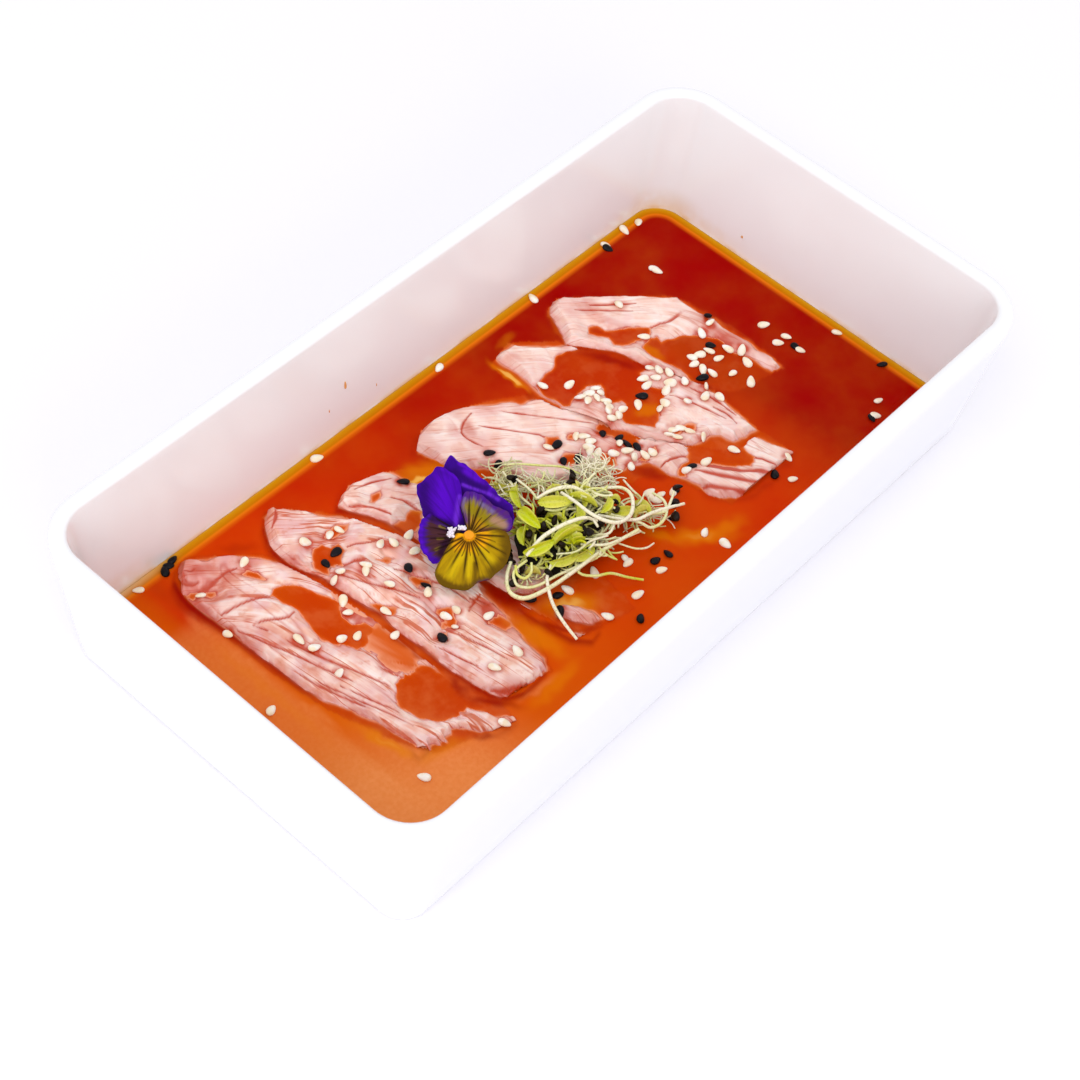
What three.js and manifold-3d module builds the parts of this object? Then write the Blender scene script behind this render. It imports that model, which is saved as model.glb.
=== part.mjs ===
import * as THREE from "three";
import { mergeVertices } from "three/addons/utils/BufferGeometryUtils.js";
import Module from "manifold-3d";

const wasm = await Module();
wasm.setup();

// Fish carpaccio in a rectangular white dish. Millimetres, +Z up, X along the dish.
// The origin is the centre of the dish's foot, on the surface that it stands on.

// Clearance between two pieces that touch
const GAP = 0.35;

// Dish
const DISH_HEIGHT = 46;
const FLOOR_TOP = 3.5;
const FILLET = 6;
const WALL_FOOT = { length: 108.1, width: 53.9, radius: 8.8 };
const RIM_INSIDE = { length: 114, width: 56.9, radius: 11 };
const RIM_OUTSIDE = { length: 118.3, width: 61.2, radius: 14.5 };
const BASE_OUTSIDE = { length: 111.8, width: 56, radius: 7.5 };
const BASE_ROUNDING = 1.5;
const LIP_RISE = 1.4;
const FOOT_WIDTH = 5.7;
const FOOT_INSET = 1.8;
const FOOT_DEPTH = 1;
const CORNER_STEPS = 5;

// Sauce
const SAUCE_LEVEL = 8;

// Fish slices: each lies on the one before it and sinks towards its own right edge
const SLICE_THICKNESS = 3;
const SLICE_EDGE = 1;
const SLICE_TAPER = 5;
const SLICE_THINNEST = 0.6;
const SLICE_ROWS = 18;
const SLICE_COLUMNS = 7;
const FIBRE_RELIEF = 0.16;
const SLICE_WAVE = { height: 0.22, alongX: 7.1, alongY: 4.3 };
const CURL_REACH = 12;
const SLICE_OVERLAP_MARGIN = 2;
const SLICE_GAP = 0.6;

// left and right are a slice's edges, from its raised tip to its tail
// pools are dips that hold sauce: [x, y, half length, half width, depth]
const SLICES = [
  {
    left: [[-81, 50.6], [-86.6, 42], [-87, 20], [-84.8, -3], [-80, -21], [-75, -31.5]],
    right: [[-78.5, 50.6], [-68, 38.5], [-57, 24], [-49, 5], [-50, -18], [-55.5, -38.5]],
    rise: 1.6, fall: 1.5, reach: 30, curl: 0.9,
    pools: [[-66, 17, 6.5, 13, 1.3], [-64, -19, 7, 8, 1.3], [-62, -4, 5, 8, 0.5]],
  },
  {
    left: [[-55.5, 46], [-61.5, 38], [-59.5, 20], [-58, 0], [-57.5, -16], [-53.5, -30.5]],
    right: [[-52.5, 46], [-45, 35], [-31, 22], [-27, 8], [-29, -16], [-39, -34]],
    rise: 1.9, fall: 1.3, reach: 27, curl: 1.3,
    pools: [[-55.5, 27, 4.5, 3.5, 1.2], [-33, -20, 5, 9, 1.2]],
  },
  {
    left: [[-40.5, 35], [-38.5, 29], [-34, 18], [-31, 3], [-29, -14], [-25.5, -31]],
    right: [[-34.5, 38], [-22, 34], [-9, 25], [-4, 8], [-5, -15], [-12, -35]],
    rise: 1.7, fall: 1.4, reach: 25, curl: 0.3,
    pools: [[-13, 30, 8, 4, 1.1], [-17, -26, 7, 9, 1.6]],
  },
  {
    left: [[-12.5, 35], [-9, 25], [-1, 7], [13, -8], [27, -15], [37, -33]],
    right: [[-5, 39], [13, 35], [36, 20], [50, 1], [58, -18], [59.5, -33.5]],
    rise: 1.8, fall: 1.1, reach: 34, curl: 0.4,
    pools: [[1, 27, 3, 5, 1], [44, -17, 5, 8, 1.4]],
  },
  {
    left: [[24, 42], [25, 29], [30, 13], [36, 0], [43, -12], [50, -21.5]],
    right: [[35, 44], [46.5, 35], [58.5, 20], [62.5, 3], [62.5, -12], [58, -22]],
    rise: 2, fall: 0.9, reach: 26, curl: 0.5,
    pools: [[41, 21, 11, 10, 2.1]],
  },
  {
    left: [[51.5, 45], [46.5, 35.5], [51, 25], [56, 13], [60.5, 2], [66, -9]],
    right: [[56, 45.5], [68, 36], [80, 24], [84, 10], [83.5, -4], [79, -13]],
    rise: 2.1, fall: 1, reach: 24, curl: 0.3,
    pools: [[57, 26, 6, 5, 1.7], [68, 13, 9, 6, 1.9], [72, -2, 6, 7, 1.5]],
  },
];

// Sesame seeds
const SEED = { length: 3.2, width: 2, height: 1.2, sides: 6 };
// a seed's teardrop outline: [share of half its length, share of its width]
const SEED_RINGS = [[-0.72, 0.62], [0.1, 1], [0.8, 0.42]];
const SEED_SINK = 0.2;
const SEED_CLEARANCE = 2.3;
const SEED_HEAP_MARGIN = { x: 6, y: 8 };
const SEED_RANDOM = 7;
// where the seeds lie: [x, y, spread, seeds]
const SEED_PATCHES = [
  [-84, 39.5, 0, 1], [-69, 39.5, 0, 1], [-76, 12, 3, 2], [-76.5, -0.5, 0, 1], [-69, 6.5, 1, 1],
  [-61.5, 13, 1, 1], [-53, 27, 2, 1], [-47, 31, 3, 2], [-50, 17, 4, 2], [-40, 18, 4, 1],
  [-48, 7, 4, 2], [-45, -7, 4, 3], [-49, -25.5, 0, 1], [-41, -25, 0, 1], [-50, -10, 0, 1],
  [7, 24, 6, 2], [36, 13, 5, 4], [30, 4, 5, 3], [38, -6, 4, 2], [36, -18, 2, 1],
  [53, 3, 5, 5], [57, -8, 3, 2], [66, 20, 3, 1], [74, 5, 6, 4], [77, -4, 3, 2],
  [-94.5, 4, 0, 1], [-82.5, -34, 0, 1], [-30, -41, 3, 1], [-10.5, -40, 1, 2], [5, -40, 3, 2],
  [23, -38, 3, 2], [52, -38.5, 2, 1], [90, 1, 3, 3], [92, -9, 3, 3], [86, 36, 2, 1],
  [90, -40, 3, 3], [101, -22, 3, 2], [14, 49, 1, 1], [-32, 49, 1, 1], [88, 48, 4, 2],
];

// Sprouts: a tangled core with the stems that show
const HEAP = { x: -6.5, y: -7.5, length: 20, width: 13.5, height: 7, turn: -0.25 };
const HEAP_RINGS = 6;
const HEAP_SIDES = 16;
const HEAP_LUMPS = 0.14;
const HEAP_BUMPS = 0.18;
const HEAP_SKIRT = 0.5;
const STEM_SIDES = 5;
const STEM_STEPS = 16;
const HEAP_CLEARANCE = 1.1;
const STEM_CLEARANCE = 0.8;
// stems that stand out, each a radius and a route through the air
const LONG_STEMS = [
  [0.75, [6.5, -24, 14], [-4.4, -21.5, 13.6], [-14.6, -20.6, 13], [-23.6, -19.4, 12.2],
    [-29, -17, 11.6], [-29.6, -13.4, 11.4], [-24, -9, 12.2]],
  [0.6, [-7, -22, 13], [-18, -18.6, 12.4], [-25, -16.4, 12], [-26, -12.8, 12], [-18, -9, 13.4]],
  [0.65, [-21, -10.4, 14], [-14.8, -10.6, 17.5], [-8.2, -12.3, 18.6], [-2, -13, 16]],
  [0.7, [-7.3, -1, 16], [-2.2, -3, 18.8], [-0.5, -7, 19.2], [-2, -14, 17.5],
    [0.4, -19.5, 15], [7, -20, 15], [12, -16, 15], [6, -9, 14]],
  [0.6, [-17, -14, 14], [-22, -18, 12.6], [-25, -22.5, 12.2], [-27.3, -28.4, 11.8], [-28, -34, 10.8]],
  [0.6, [-10, -16, 14], [-12, -22.5, 12.2], [-7, -26, 11.6], [-2, -32, 9.6]],
  [0.65, [2, -12, 14], [7, -20, 13.4], [14, -21.6, 13.2], [23, -25.4, 12.6]],
  [0.65, [5, -10, 14], [11, -16, 14.5], [10.6, -21, 13.2], [14, -25, 12.8],
    [20, -22, 12.8], [19, -16, 12.8]],
  [0.55, [-14, 0, 14], [-7, 10, 13], [0, 10, 13], [5.2, 6, 13], [4, -2, 14]],
];
const LOOSE_STEMS = { count: 7, points: 5, radius: 0.6, reach: 15, bend: 2.6, lift: 1.6, random: 21 };
const SEED_LEAVES = {
  count: 6, nearest: 4, farthest: 10, length: 7.5, width: 4.4, thickness: 0.9, random: 5,
};
const HEAP_FLATNESS = 0.65;
const LOOSE_STEM_DEPTH = 0.85;
const SEED_LEAF_DEPTH = 0.92;

// Viola: petals are fans about the flower's eye, in a plane that leans towards the diner
const VIOLA = { eye: [-29.6, 1.4, 17], tilt: 25, facing: 216.8 };
const PETAL_THICKNESS = 0.6;
const PETAL_ROWS = 7;
const PETAL_COLUMNS = 8;
// direction and spread are in degrees, and layer is the height above the eye's plane
// lopsided makes the side with the larger angle longer, and blunt shortens the two corners
const PETALS = [
  {
    name: "viola_petal_upper_left", direction: 128, spread: 60, start: 2, length: 19.6,
    lopsided: -0.15, blunt: 0.2, layer: -2.1, ruffle: 0.35, cup: 0.3,
  },
  {
    name: "viola_petal_upper_right", direction: 76, spread: 74, start: 2, length: 14.5,
    lopsided: 0.28, blunt: -0.26, layer: -3.6, ruffle: 0.35, cup: 0.2,
  },
  {
    name: "viola_petal_side_left", direction: 178, spread: 78, start: 1.8, length: 13,
    lopsided: -0.2, blunt: 0.14, layer: -0.6, ruffle: 0.25, cup: -0.3,
  },
  {
    name: "viola_petal_side_right", direction: 47, spread: 98, start: 1.8, length: 12.8,
    lopsided: 0.06, blunt: 0.14, layer: -0.7, ruffle: 0.3, cup: -0.2,
  },
  {
    name: "viola_petal_lip", direction: 284, spread: 158, start: 1.6, length: 11.8,
    lopsided: 0, blunt: 0.1, layer: 0.9, ruffle: 0.3, cup: -0.5,
  },
];
const EYE_HEIGHT = 1.4;
const EYE_FLATNESS = 0.62;
// the room that the petals take, as lowest and highest corners in the flower's plane
const VIOLA_ROOMS = [
  { low: [-17, -5, -6.2], high: [12, 25, 6] },
  { low: [-12, -13, -0.4], high: [11.4, -5, 6] },
];
const EYE_RADIUS = 1.7;
const CALYX = { radius: 2.8, notch: 0.55, sepals: 5, depth: 0.9, layer: -4.6 };

// Random numbers that come out alike on every run
function randomFrom(seed) {
  let state = seed >>> 0;
  return () => {
    state = (state + 0x6d2b79f5) >>> 0;
    let mixed = Math.imul(state ^ (state >>> 15), state | 1);
    mixed ^= mixed + Math.imul(mixed ^ (mixed >>> 7), mixed | 61);
    return ((mixed ^ (mixed >>> 14)) >>> 0) / 4294967296;
  };
}

function smoothstep(low, high, value) {
  const t = THREE.MathUtils.clamp((value - low) / (high - low), 0, 1);
  return t * t * (3 - 2 * t);
}

// Solids

function geometryOf(points, triangles) {
  const geometry = new THREE.BufferGeometry();
  geometry.setAttribute("position", new THREE.Float32BufferAttribute(points.flat(), 3));
  geometry.setIndex(triangles.flat());
  return geometry;
}

function solidOf(geometry) {
  const bare = geometry.clone();
  bare.deleteAttribute("normal");
  bare.deleteAttribute("uv");
  const merged = mergeVertices(bare, 1e-4);
  return new wasm.Manifold(new wasm.Mesh({
    numProp: 3,
    vertProperties: new Float32Array(merged.attributes.position.array),
    triVerts: new Uint32Array(merged.index.array),
  }));
}

function geometryFrom(solid) {
  const { vertProperties, triVerts, numProp } = solid.getMesh();
  const geometry = new THREE.BufferGeometry();
  const points = new Float32Array((vertProperties.length / numProp) * 3);
  for (let i = 0; i < points.length / 3; i += 1) {
    points.set(vertProperties.subarray(i * numProp, i * numProp + 3), i * 3);
  }
  geometry.setAttribute("position", new THREE.BufferAttribute(points, 3));
  geometry.setIndex(new THREE.BufferAttribute(triVerts, 1));
  return geometry;
}

// Joins each part that touches the host and leaves out one that doesn't
function fuse(host, parts) {
  return parts.reduce((joined, part) => {
    const next = joined.add(part);
    return next.decompose().length === 1 ? next : joined;
  }, host);
}

// A closed body through rings of equally many points, from the middle of its underside to that of its top
function loft(rings) {
  const count = rings[0].length;
  const points = rings.flat();
  const triangles = [];
  for (let ring = 0; ring + 1 < rings.length; ring += 1) {
    for (let i = 0; i < count; i += 1) {
      const a = ring * count + i;
      const b = ring * count + ((i + 1) % count);
      triangles.push([a, b, b + count], [a, b + count, a + count]);
    }
  }
  const last = (rings.length - 1) * count;
  const bottom = points.push([0, 0, rings[0][0][2]]) - 1;
  const top = points.push([0, 0, rings[rings.length - 1][0][2]]) - 1;
  for (let i = 0; i < count; i += 1) {
    const next = (i + 1) % count;
    triangles.push([bottom, next, i], [top, last + i, last + next]);
  }
  return geometryOf(points, triangles);
}

// A closed body between two grids of points, both split into triangles alike
function sheet(top, bottom) {
  const rows = top.length;
  const columns = top[0].length;
  const points = [...top.flat(), ...bottom.flat()];
  const under = rows * columns;
  const triangles = [];
  for (let i = 0; i + 1 < rows; i += 1) {
    for (let j = 0; j + 1 < columns; j += 1) {
      const a = i * columns + j;
      const [b, c, d] = [a + 1, a + columns + 1, a + columns];
      triangles.push([a, b, c], [a, c, d]);
      triangles.push([under + a, under + c, under + b], [under + a, under + d, under + c]);
    }
  }
  const rim = [];
  for (let j = 0; j < columns - 1; j += 1) rim.push(j);
  for (let i = 0; i < rows - 1; i += 1) rim.push(i * columns + columns - 1);
  for (let j = columns - 1; j > 0; j -= 1) rim.push((rows - 1) * columns + j);
  for (let i = rows - 1; i > 0; i -= 1) rim.push(i * columns);
  rim.forEach((a, i) => {
    const b = rim[(i + 1) % rim.length];
    triangles.push([a, under + a, under + b], [a, under + b, b]);
  });
  return geometryOf(points, triangles);
}

// Dish

function roundedRing({ length, width, radius }, z) {
  const ring = [];
  const corners = [[1, 1, 0], [-1, 1, 90], [-1, -1, 180], [1, -1, 270]];
  for (const [sideX, sideY, startAngle] of corners) {
    for (let step = 0; step <= CORNER_STEPS; step += 1) {
      const angle = THREE.MathUtils.degToRad(startAngle + (90 * step) / CORNER_STEPS);
      ring.push([
        sideX * (length - radius) + radius * Math.cos(angle),
        sideY * (width - radius) + radius * Math.sin(angle),
        z,
      ]);
    }
  }
  return ring;
}

function grow({ length, width, radius }, amount) {
  return { length: length + amount, width: width + amount, radius: Math.max(radius + amount, 0.5) };
}

function between(low, high, share) {
  return {
    length: THREE.MathUtils.lerp(low.length, high.length, share),
    width: THREE.MathUtils.lerp(low.width, high.width, share),
    radius: THREE.MathUtils.lerp(low.radius, high.radius, share),
  };
}

// The inside of the dish at a height within the fillet between its floor and its wall
function filletOutline(z) {
  const cosine = THREE.MathUtils.clamp(1 - (z - FLOOR_TOP) / FILLET, 0, 1);
  return grow(WALL_FOOT, FILLET * (Math.sqrt(1 - cosine * cosine) - 1));
}

function dishGeometry() {
  const foot = grow(BASE_OUTSIDE, -FOOT_INSET);
  const rings = [
    roundedRing(grow(foot, -FOOT_WIDTH - FOOT_DEPTH), FOOT_DEPTH),
    roundedRing(grow(foot, -FOOT_WIDTH), 0),
    roundedRing(foot, 0),
    roundedRing(grow(BASE_OUTSIDE, -0.3 * BASE_ROUNDING), 0.3 * BASE_ROUNDING),
    roundedRing(BASE_OUTSIDE, BASE_ROUNDING),
  ];
  const lipMiddle = between(RIM_OUTSIDE, RIM_INSIDE, 0.5);
  const lipHalf = (RIM_OUTSIDE.length - RIM_INSIDE.length) / 2;
  for (const angle of [0, 45, 90, 135, 180]) {
    const turn = THREE.MathUtils.degToRad(angle);
    const outline = grow(lipMiddle, lipHalf * Math.cos(turn));
    rings.push(roundedRing(outline, DISH_HEIGHT - LIP_RISE * (1 - Math.sin(turn))));
  }
  rings.push(roundedRing(WALL_FOOT, FLOOR_TOP + FILLET));
  for (const share of [0.6, 0.3, 0.1, 0]) {
    const z = FLOOR_TOP + FILLET * share;
    rings.push(roundedRing(filletOutline(z), z));
  }
  return loft(rings);
}

// Slices: outlines

function edgeCurve(points) {
  return new THREE.CatmullRomCurve3(points.map(([x, y]) => new THREE.Vector3(x, y, 0)));
}

const EDGE_SAMPLES = 16;
for (const slice of SLICES) {
  slice.leftCurve = edgeCurve(slice.left);
  slice.rightCurve = edgeCurve(slice.right);
  slice.leftPoints = slice.leftCurve.getPoints(EDGE_SAMPLES);
  slice.outline = [...slice.leftPoints, ...slice.rightCurve.getPoints(EDGE_SAMPLES).reverse()];
}

// How far a point lies inside an outline, negative outside it
function insideDistance(outline, x, y) {
  let nearest = Infinity;
  let inside = false;
  outline.forEach((a, i) => {
    const b = outline[(i + 1) % outline.length];
    const [edgeX, edgeY] = [b.x - a.x, b.y - a.y];
    const lengthSquared = edgeX * edgeX + edgeY * edgeY;
    const share = THREE.MathUtils.clamp(((x - a.x) * edgeX + (y - a.y) * edgeY) / lengthSquared, 0, 1);
    nearest = Math.min(nearest, Math.hypot(x - a.x - share * edgeX, y - a.y - share * edgeY));
    if (a.y > y !== b.y > y && x < a.x + ((y - a.y) * edgeX) / edgeY) inside = !inside;
  });
  return inside ? nearest : -nearest;
}

function leftEdgeX(slice, y) {
  const points = slice.leftPoints;
  const next = points.findIndex((point) => point.y < y);
  if (next < 0) return points[points.length - 1].x;
  if (next === 0) return points[0].x;
  const [above, below] = [points[next - 1], points[next]];
  return THREE.MathUtils.mapLinear(y, above.y, below.y, above.x, below.x);
}

// Slices: heights

function shownTop(slice, x, y) {
  const across = (x - leftEdgeX(slice, y)) / slice.reach;
  const tip = slice.left[0];
  const fromTip = Math.hypot(x - tip[0], y - tip[1]);
  let z = SAUCE_LEVEL + slice.rise - slice.fall * smoothstep(0.1, 1, across);
  z += slice.curl * (1 - smoothstep(0, CURL_REACH, fromTip));
  const wave = Math.sin(y / SLICE_WAVE.alongY + slice.reach) * Math.cos(x / SLICE_WAVE.alongX);
  z += SLICE_WAVE.height * wave;
  for (const [poolX, poolY, halfX, halfY, depth] of slice.pools) {
    z -= depth * Math.exp(-(((x - poolX) / halfX) ** 2) - ((y - poolY) / halfY) ** 2);
  }
  return z;
}

function thicknessAt(slice, x, y) {
  const inside = insideDistance(slice.outline, x, y);
  return SLICE_EDGE + (SLICE_THICKNESS - SLICE_EDGE) * smoothstep(0, SLICE_TAPER, inside);
}

// A slice's top where the slices above it press it down
function topOf(index, x, y) {
  let z = shownTop(SLICES[index], x, y);
  for (let upper = index + 1; upper < Math.min(index + 3, SLICES.length); upper += 1) {
    if (insideDistance(SLICES[upper].outline, x, y) > -SLICE_OVERLAP_MARGIN) {
      z = Math.min(z, topOf(upper, x, y) - thicknessAt(SLICES[upper], x, y) - SLICE_GAP);
    }
  }
  return Math.max(z, FLOOR_TOP + GAP + SLICE_THINNEST);
}

// A slice's underside, held up by the dish's floor and by the slice below
function bottomOf(index, x, y) {
  const below = SLICES[index - 1];
  const rests = below && insideDistance(below.outline, x, y) > -SLICE_OVERLAP_MARGIN;
  const support = rests ? topOf(index - 1, x, y) + SLICE_GAP : FLOOR_TOP + GAP;
  return Math.max(support, topOf(index, x, y) - thicknessAt(SLICES[index], x, y));
}

// The highest slice surface at a place, or the sauce where there is none
function restingHeight(x, y) {
  return SLICES.reduce((height, slice, index) => {
    const covers = insideDistance(slice.outline, x, y) > -1;
    return covers ? Math.max(height, topOf(index, x, y)) : height;
  }, SAUCE_LEVEL);
}

function sliceGeometry(slice, index) {
  const top = [];
  const bottom = [];
  for (let row = 0; row <= SLICE_ROWS; row += 1) {
    const left = slice.leftCurve.getPoint(row / SLICE_ROWS);
    const right = slice.rightCurve.getPoint(row / SLICE_ROWS);
    const topRow = [];
    const bottomRow = [];
    for (let column = 0; column <= SLICE_COLUMNS; column += 1) {
      const point = left.clone().lerp(right, column / SLICE_COLUMNS);
      const relief = column % 2 === 0 ? 0 : FIBRE_RELIEF;
      topRow.push([point.x, point.y, topOf(index, point.x, point.y) - relief]);
      bottomRow.push([point.x, point.y, bottomOf(index, point.x, point.y)]);
    }
    top.push(topRow.reverse());
    bottom.push(bottomRow.reverse());
  }
  return sheet(top, bottom);
}

// Sauce

function sauceSolid() {
  const rings = [0, 0.12, 0.4].map((share) => {
    const z = FLOOR_TOP + GAP + FILLET * share;
    return roundedRing(grow(filletOutline(z - GAP), -GAP), z);
  });
  rings.push(roundedRing(grow(filletOutline(SAUCE_LEVEL), -GAP), SAUCE_LEVEL));
  let sauce = solidOf(loft(rings));
  for (const slice of SLICES) {
    const shape = new THREE.Shape(widerOutline(slice.outline, GAP));
    const prism = new THREE.ExtrudeGeometry(shape, { depth: 2 * SAUCE_LEVEL, bevelEnabled: false });
    sauce = sauce.subtract(solidOf(prism));
  }
  const pieces = sauce.decompose().sort((a, b) => b.volume() - a.volume());
  return pieces[0];
}

// An outline moved outwards by a margin
function widerOutline(outline, margin) {
  return outline.map((point, i) => {
    const before = outline[(i + outline.length - 1) % outline.length];
    const after = outline[(i + 1) % outline.length];
    const along = new THREE.Vector2(after.x - before.x, after.y - before.y).normalize();
    return new THREE.Vector2(point.x + along.y * margin, point.y - along.x * margin);
  });
}

// Seeds

function seedSolid(x, y, z, turn) {
  const rings = [];
  for (const [share, size] of SEED_RINGS) {
    const ring = [];
    for (let i = 0; i < SEED.sides; i += 1) {
      const angle = (2 * Math.PI * i) / SEED.sides;
      ring.push([
        (share * SEED.length) / 2,
        (size * Math.cos(angle) * SEED.width) / 2,
        (size * Math.sin(angle) * SEED.height) / 2,
      ]);
    }
    rings.push(ring);
  }
  const body = loft(rings);
  const points = body.attributes.position;
  points.setX(points.count - 2, -SEED.length / 2);
  points.setX(points.count - 1, SEED.length / 2);
  points.setZ(points.count - 2, 0);
  points.setZ(points.count - 1, 0);
  body.rotateZ(turn);
  body.translate(x, y, z);
  return solidOf(body);
}

// The node that a seed lies on, or null where it would touch a second one
function seedHost(x, y) {
  const depths = SLICES.map((slice) => insideDistance(slice.outline, x, y));
  const heapX = (x - HEAP.x) / (HEAP.length + SEED_HEAP_MARGIN.x);
  const heapY = (y - HEAP.y) / (HEAP.width + SEED_HEAP_MARGIN.y);
  if (heapX * heapX + heapY * heapY < 1) return null;
  const top = depths.findLastIndex((depth) => depth > -SEED_CLEARANCE);
  if (top < 0) return "sauce";
  return depths[top] > SEED_CLEARANCE ? top : null;
}

function scatterSeeds() {
  const random = randomFrom(SEED_RANDOM);
  const seeds = [];
  for (const [x, y, spread, count] of SEED_PATCHES) {
    for (let i = 0; i < count; i += 1) {
      const seedX = x + spread * (2 * random() - 1);
      const seedY = y + spread * (2 * random() - 1);
      const turn = 2 * Math.PI * random();
      const host = seedHost(seedX, seedY);
      const crowded = seeds.some((other) => Math.hypot(other.x - seedX, other.y - seedY) < SEED.length);
      if (host === null || crowded) continue;
      const surface = host === "sauce" ? SAUCE_LEVEL : topOf(host, seedX, seedY);
      seeds.push({ host, x: seedX, y: seedY, solid: seedSolid(seedX, seedY, surface + SEED_SINK, turn) });
    }
  }
  return seeds;
}

// Sprouts

// A point of the heap's lumpy plan, at a share of the way out
function heapPlace(share, angle) {
  const lump = 1 + HEAP_LUMPS * (Math.sin(3 * angle + 1) + 0.5 * Math.sin(7 * angle));
  const flatX = HEAP.length * share * lump * Math.cos(angle);
  const flatY = HEAP.width * share * lump * Math.sin(angle);
  return [
    HEAP.x + flatX * Math.cos(HEAP.turn) - flatY * Math.sin(HEAP.turn),
    HEAP.y + flatX * Math.sin(HEAP.turn) + flatY * Math.cos(HEAP.turn),
  ];
}

function heapDome(share, angle) {
  const round = Math.sqrt(Math.max(0, 1 - share * share));
  return HEAP.height * round * (1 + HEAP_BUMPS * Math.sin(5 * angle + 9 * share));
}

function heapRing(share, isTop) {
  const ring = [];
  for (let i = 0; i < HEAP_SIDES; i += 1) {
    const angle = (2 * Math.PI * i) / HEAP_SIDES;
    const [x, y] = heapPlace(share, angle);
    const under = restingHeight(x, y) + HEAP_CLEARANCE;
    ring.push([x, y, isTop ? under + HEAP_SKIRT + heapDome(share, angle) : under]);
  }
  return ring;
}

function heapCore() {
  const rings = [];
  for (let ring = 1; ring <= HEAP_RINGS; ring += 1) rings.push(heapRing(ring / HEAP_RINGS, false));
  for (let ring = HEAP_RINGS; ring >= 1; ring -= 1) rings.push(heapRing((ring - 0.5) / HEAP_RINGS, true));
  const core = loft(rings);
  const points = core.attributes.position;
  const underside = restingHeight(HEAP.x, HEAP.y) + HEAP_CLEARANCE;
  points.setXYZ(points.count - 2, HEAP.x, HEAP.y, underside);
  points.setXYZ(points.count - 1, HEAP.x, HEAP.y, underside + HEAP_SKIRT + HEAP.height);
  return solidOf(core);
}

function stemSolid(route, radius) {
  const clear = route.map(([x, y, z]) => {
    const lowest = restingHeight(x, y) + radius + STEM_CLEARANCE;
    return new THREE.Vector3(x, y, Math.max(z, lowest));
  });
  const curve = new THREE.CatmullRomCurve3(clear);
  const corners = [];
  for (let i = 0; i < STEM_SIDES; i += 1) {
    const angle = (2 * Math.PI * i) / STEM_SIDES;
    corners.push(new THREE.Vector2(radius * Math.cos(angle), radius * Math.sin(angle)));
  }
  const options = { steps: STEM_STEPS, extrudePath: curve, bevelEnabled: false };
  return solidOf(new THREE.ExtrudeGeometry(new THREE.Shape(corners), options));
}

// Stems that lie over the heap, each fanning out from near its middle
function looseRoutes() {
  const random = randomFrom(LOOSE_STEMS.random);
  const routes = [];
  for (let i = 0; i < LOOSE_STEMS.count; i += 1) {
    const start = 2 * Math.PI * random();
    const bend = LOOSE_STEMS.bend * (random() - 0.5);
    const route = [];
    for (let step = 1; step <= LOOSE_STEMS.points; step += 1) {
      const share = step / LOOSE_STEMS.points;
      const angle = start + bend * share;
      const reach = LOOSE_STEMS.reach * share;
      const lift = LOOSE_STEMS.lift * Math.sin(Math.PI * share);
      const dome = HEAP.height * Math.sqrt(Math.max(0, 1 - (reach / HEAP.length) ** 2));
      const x = HEAP.x + reach * Math.cos(angle);
      const y = HEAP.y + HEAP_FLATNESS * reach * Math.sin(angle);
      route.push([x, y, restingHeight(x, y) + dome * LOOSE_STEM_DEPTH + lift]);
    }
    routes.push(route);
  }
  return routes;
}

function leafSolids() {
  const random = randomFrom(SEED_LEAVES.random);
  const leaves = [];
  for (let i = 0; i < SEED_LEAVES.count; i += 1) {
    const angle = (2 * Math.PI * i) / SEED_LEAVES.count + random();
    const reach = THREE.MathUtils.lerp(SEED_LEAVES.nearest, SEED_LEAVES.farthest, random());
    const x = HEAP.x + reach * Math.cos(angle);
    const y = HEAP.y + HEAP_FLATNESS * reach * Math.sin(angle);
    const z = restingHeight(x, y) + HEAP.height * SEED_LEAF_DEPTH;
    const leaf = new THREE.SphereGeometry(0.5, 8, 5);
    leaf.scale(SEED_LEAVES.length, SEED_LEAVES.width, SEED_LEAVES.thickness);
    leaf.rotateX(0.5 * (random() - 0.5));
    leaf.rotateY(0.9 * (random() - 0.5));
    leaf.rotateZ(Math.PI * random());
    leaf.translate(x, y, z);
    leaves.push(solidOf(leaf));
  }
  return leaves;
}

function sproutSolid() {
  const stems = LONG_STEMS.map(([radius, ...route]) => stemSolid(route, radius));
  const loose = looseRoutes().map((route) => stemSolid(route, LOOSE_STEMS.radius));
  const heap = fuse(heapCore(), [...stems, ...loose, ...leafSolids()]);
  const pieces = VIOLA_ROOMS.reduce((left, room) => left.subtract(roomSolid(room)), heap).decompose();
  return pieces.sort((a, b) => b.volume() - a.volume())[0];
}

// Viola

function leanOfViola() {
  const lean = THREE.MathUtils.degToRad(VIOLA.tilt);
  const heading = THREE.MathUtils.degToRad(VIOLA.facing + 90);
  const turn = new THREE.Euler(lean, 0, heading, "ZYX");
  return new THREE.Matrix4().makeRotationFromEuler(turn).setPosition(...VIOLA.eye);
}

function roomSolid({ low, high }) {
  const room = new THREE.BoxGeometry(...high.map((value, i) => value - low[i]));
  room.translate(...high.map((value, i) => (value + low[i]) / 2));
  room.applyMatrix4(leanOfViola());
  return solidOf(room);
}

// The share of its spread that a petal has opened to, at a share of its length
function petalOpening(along) {
  return 0.5 + 0.5 * Math.sin(0.72 * Math.PI * Math.min(along + 0.12, 1));
}

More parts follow.
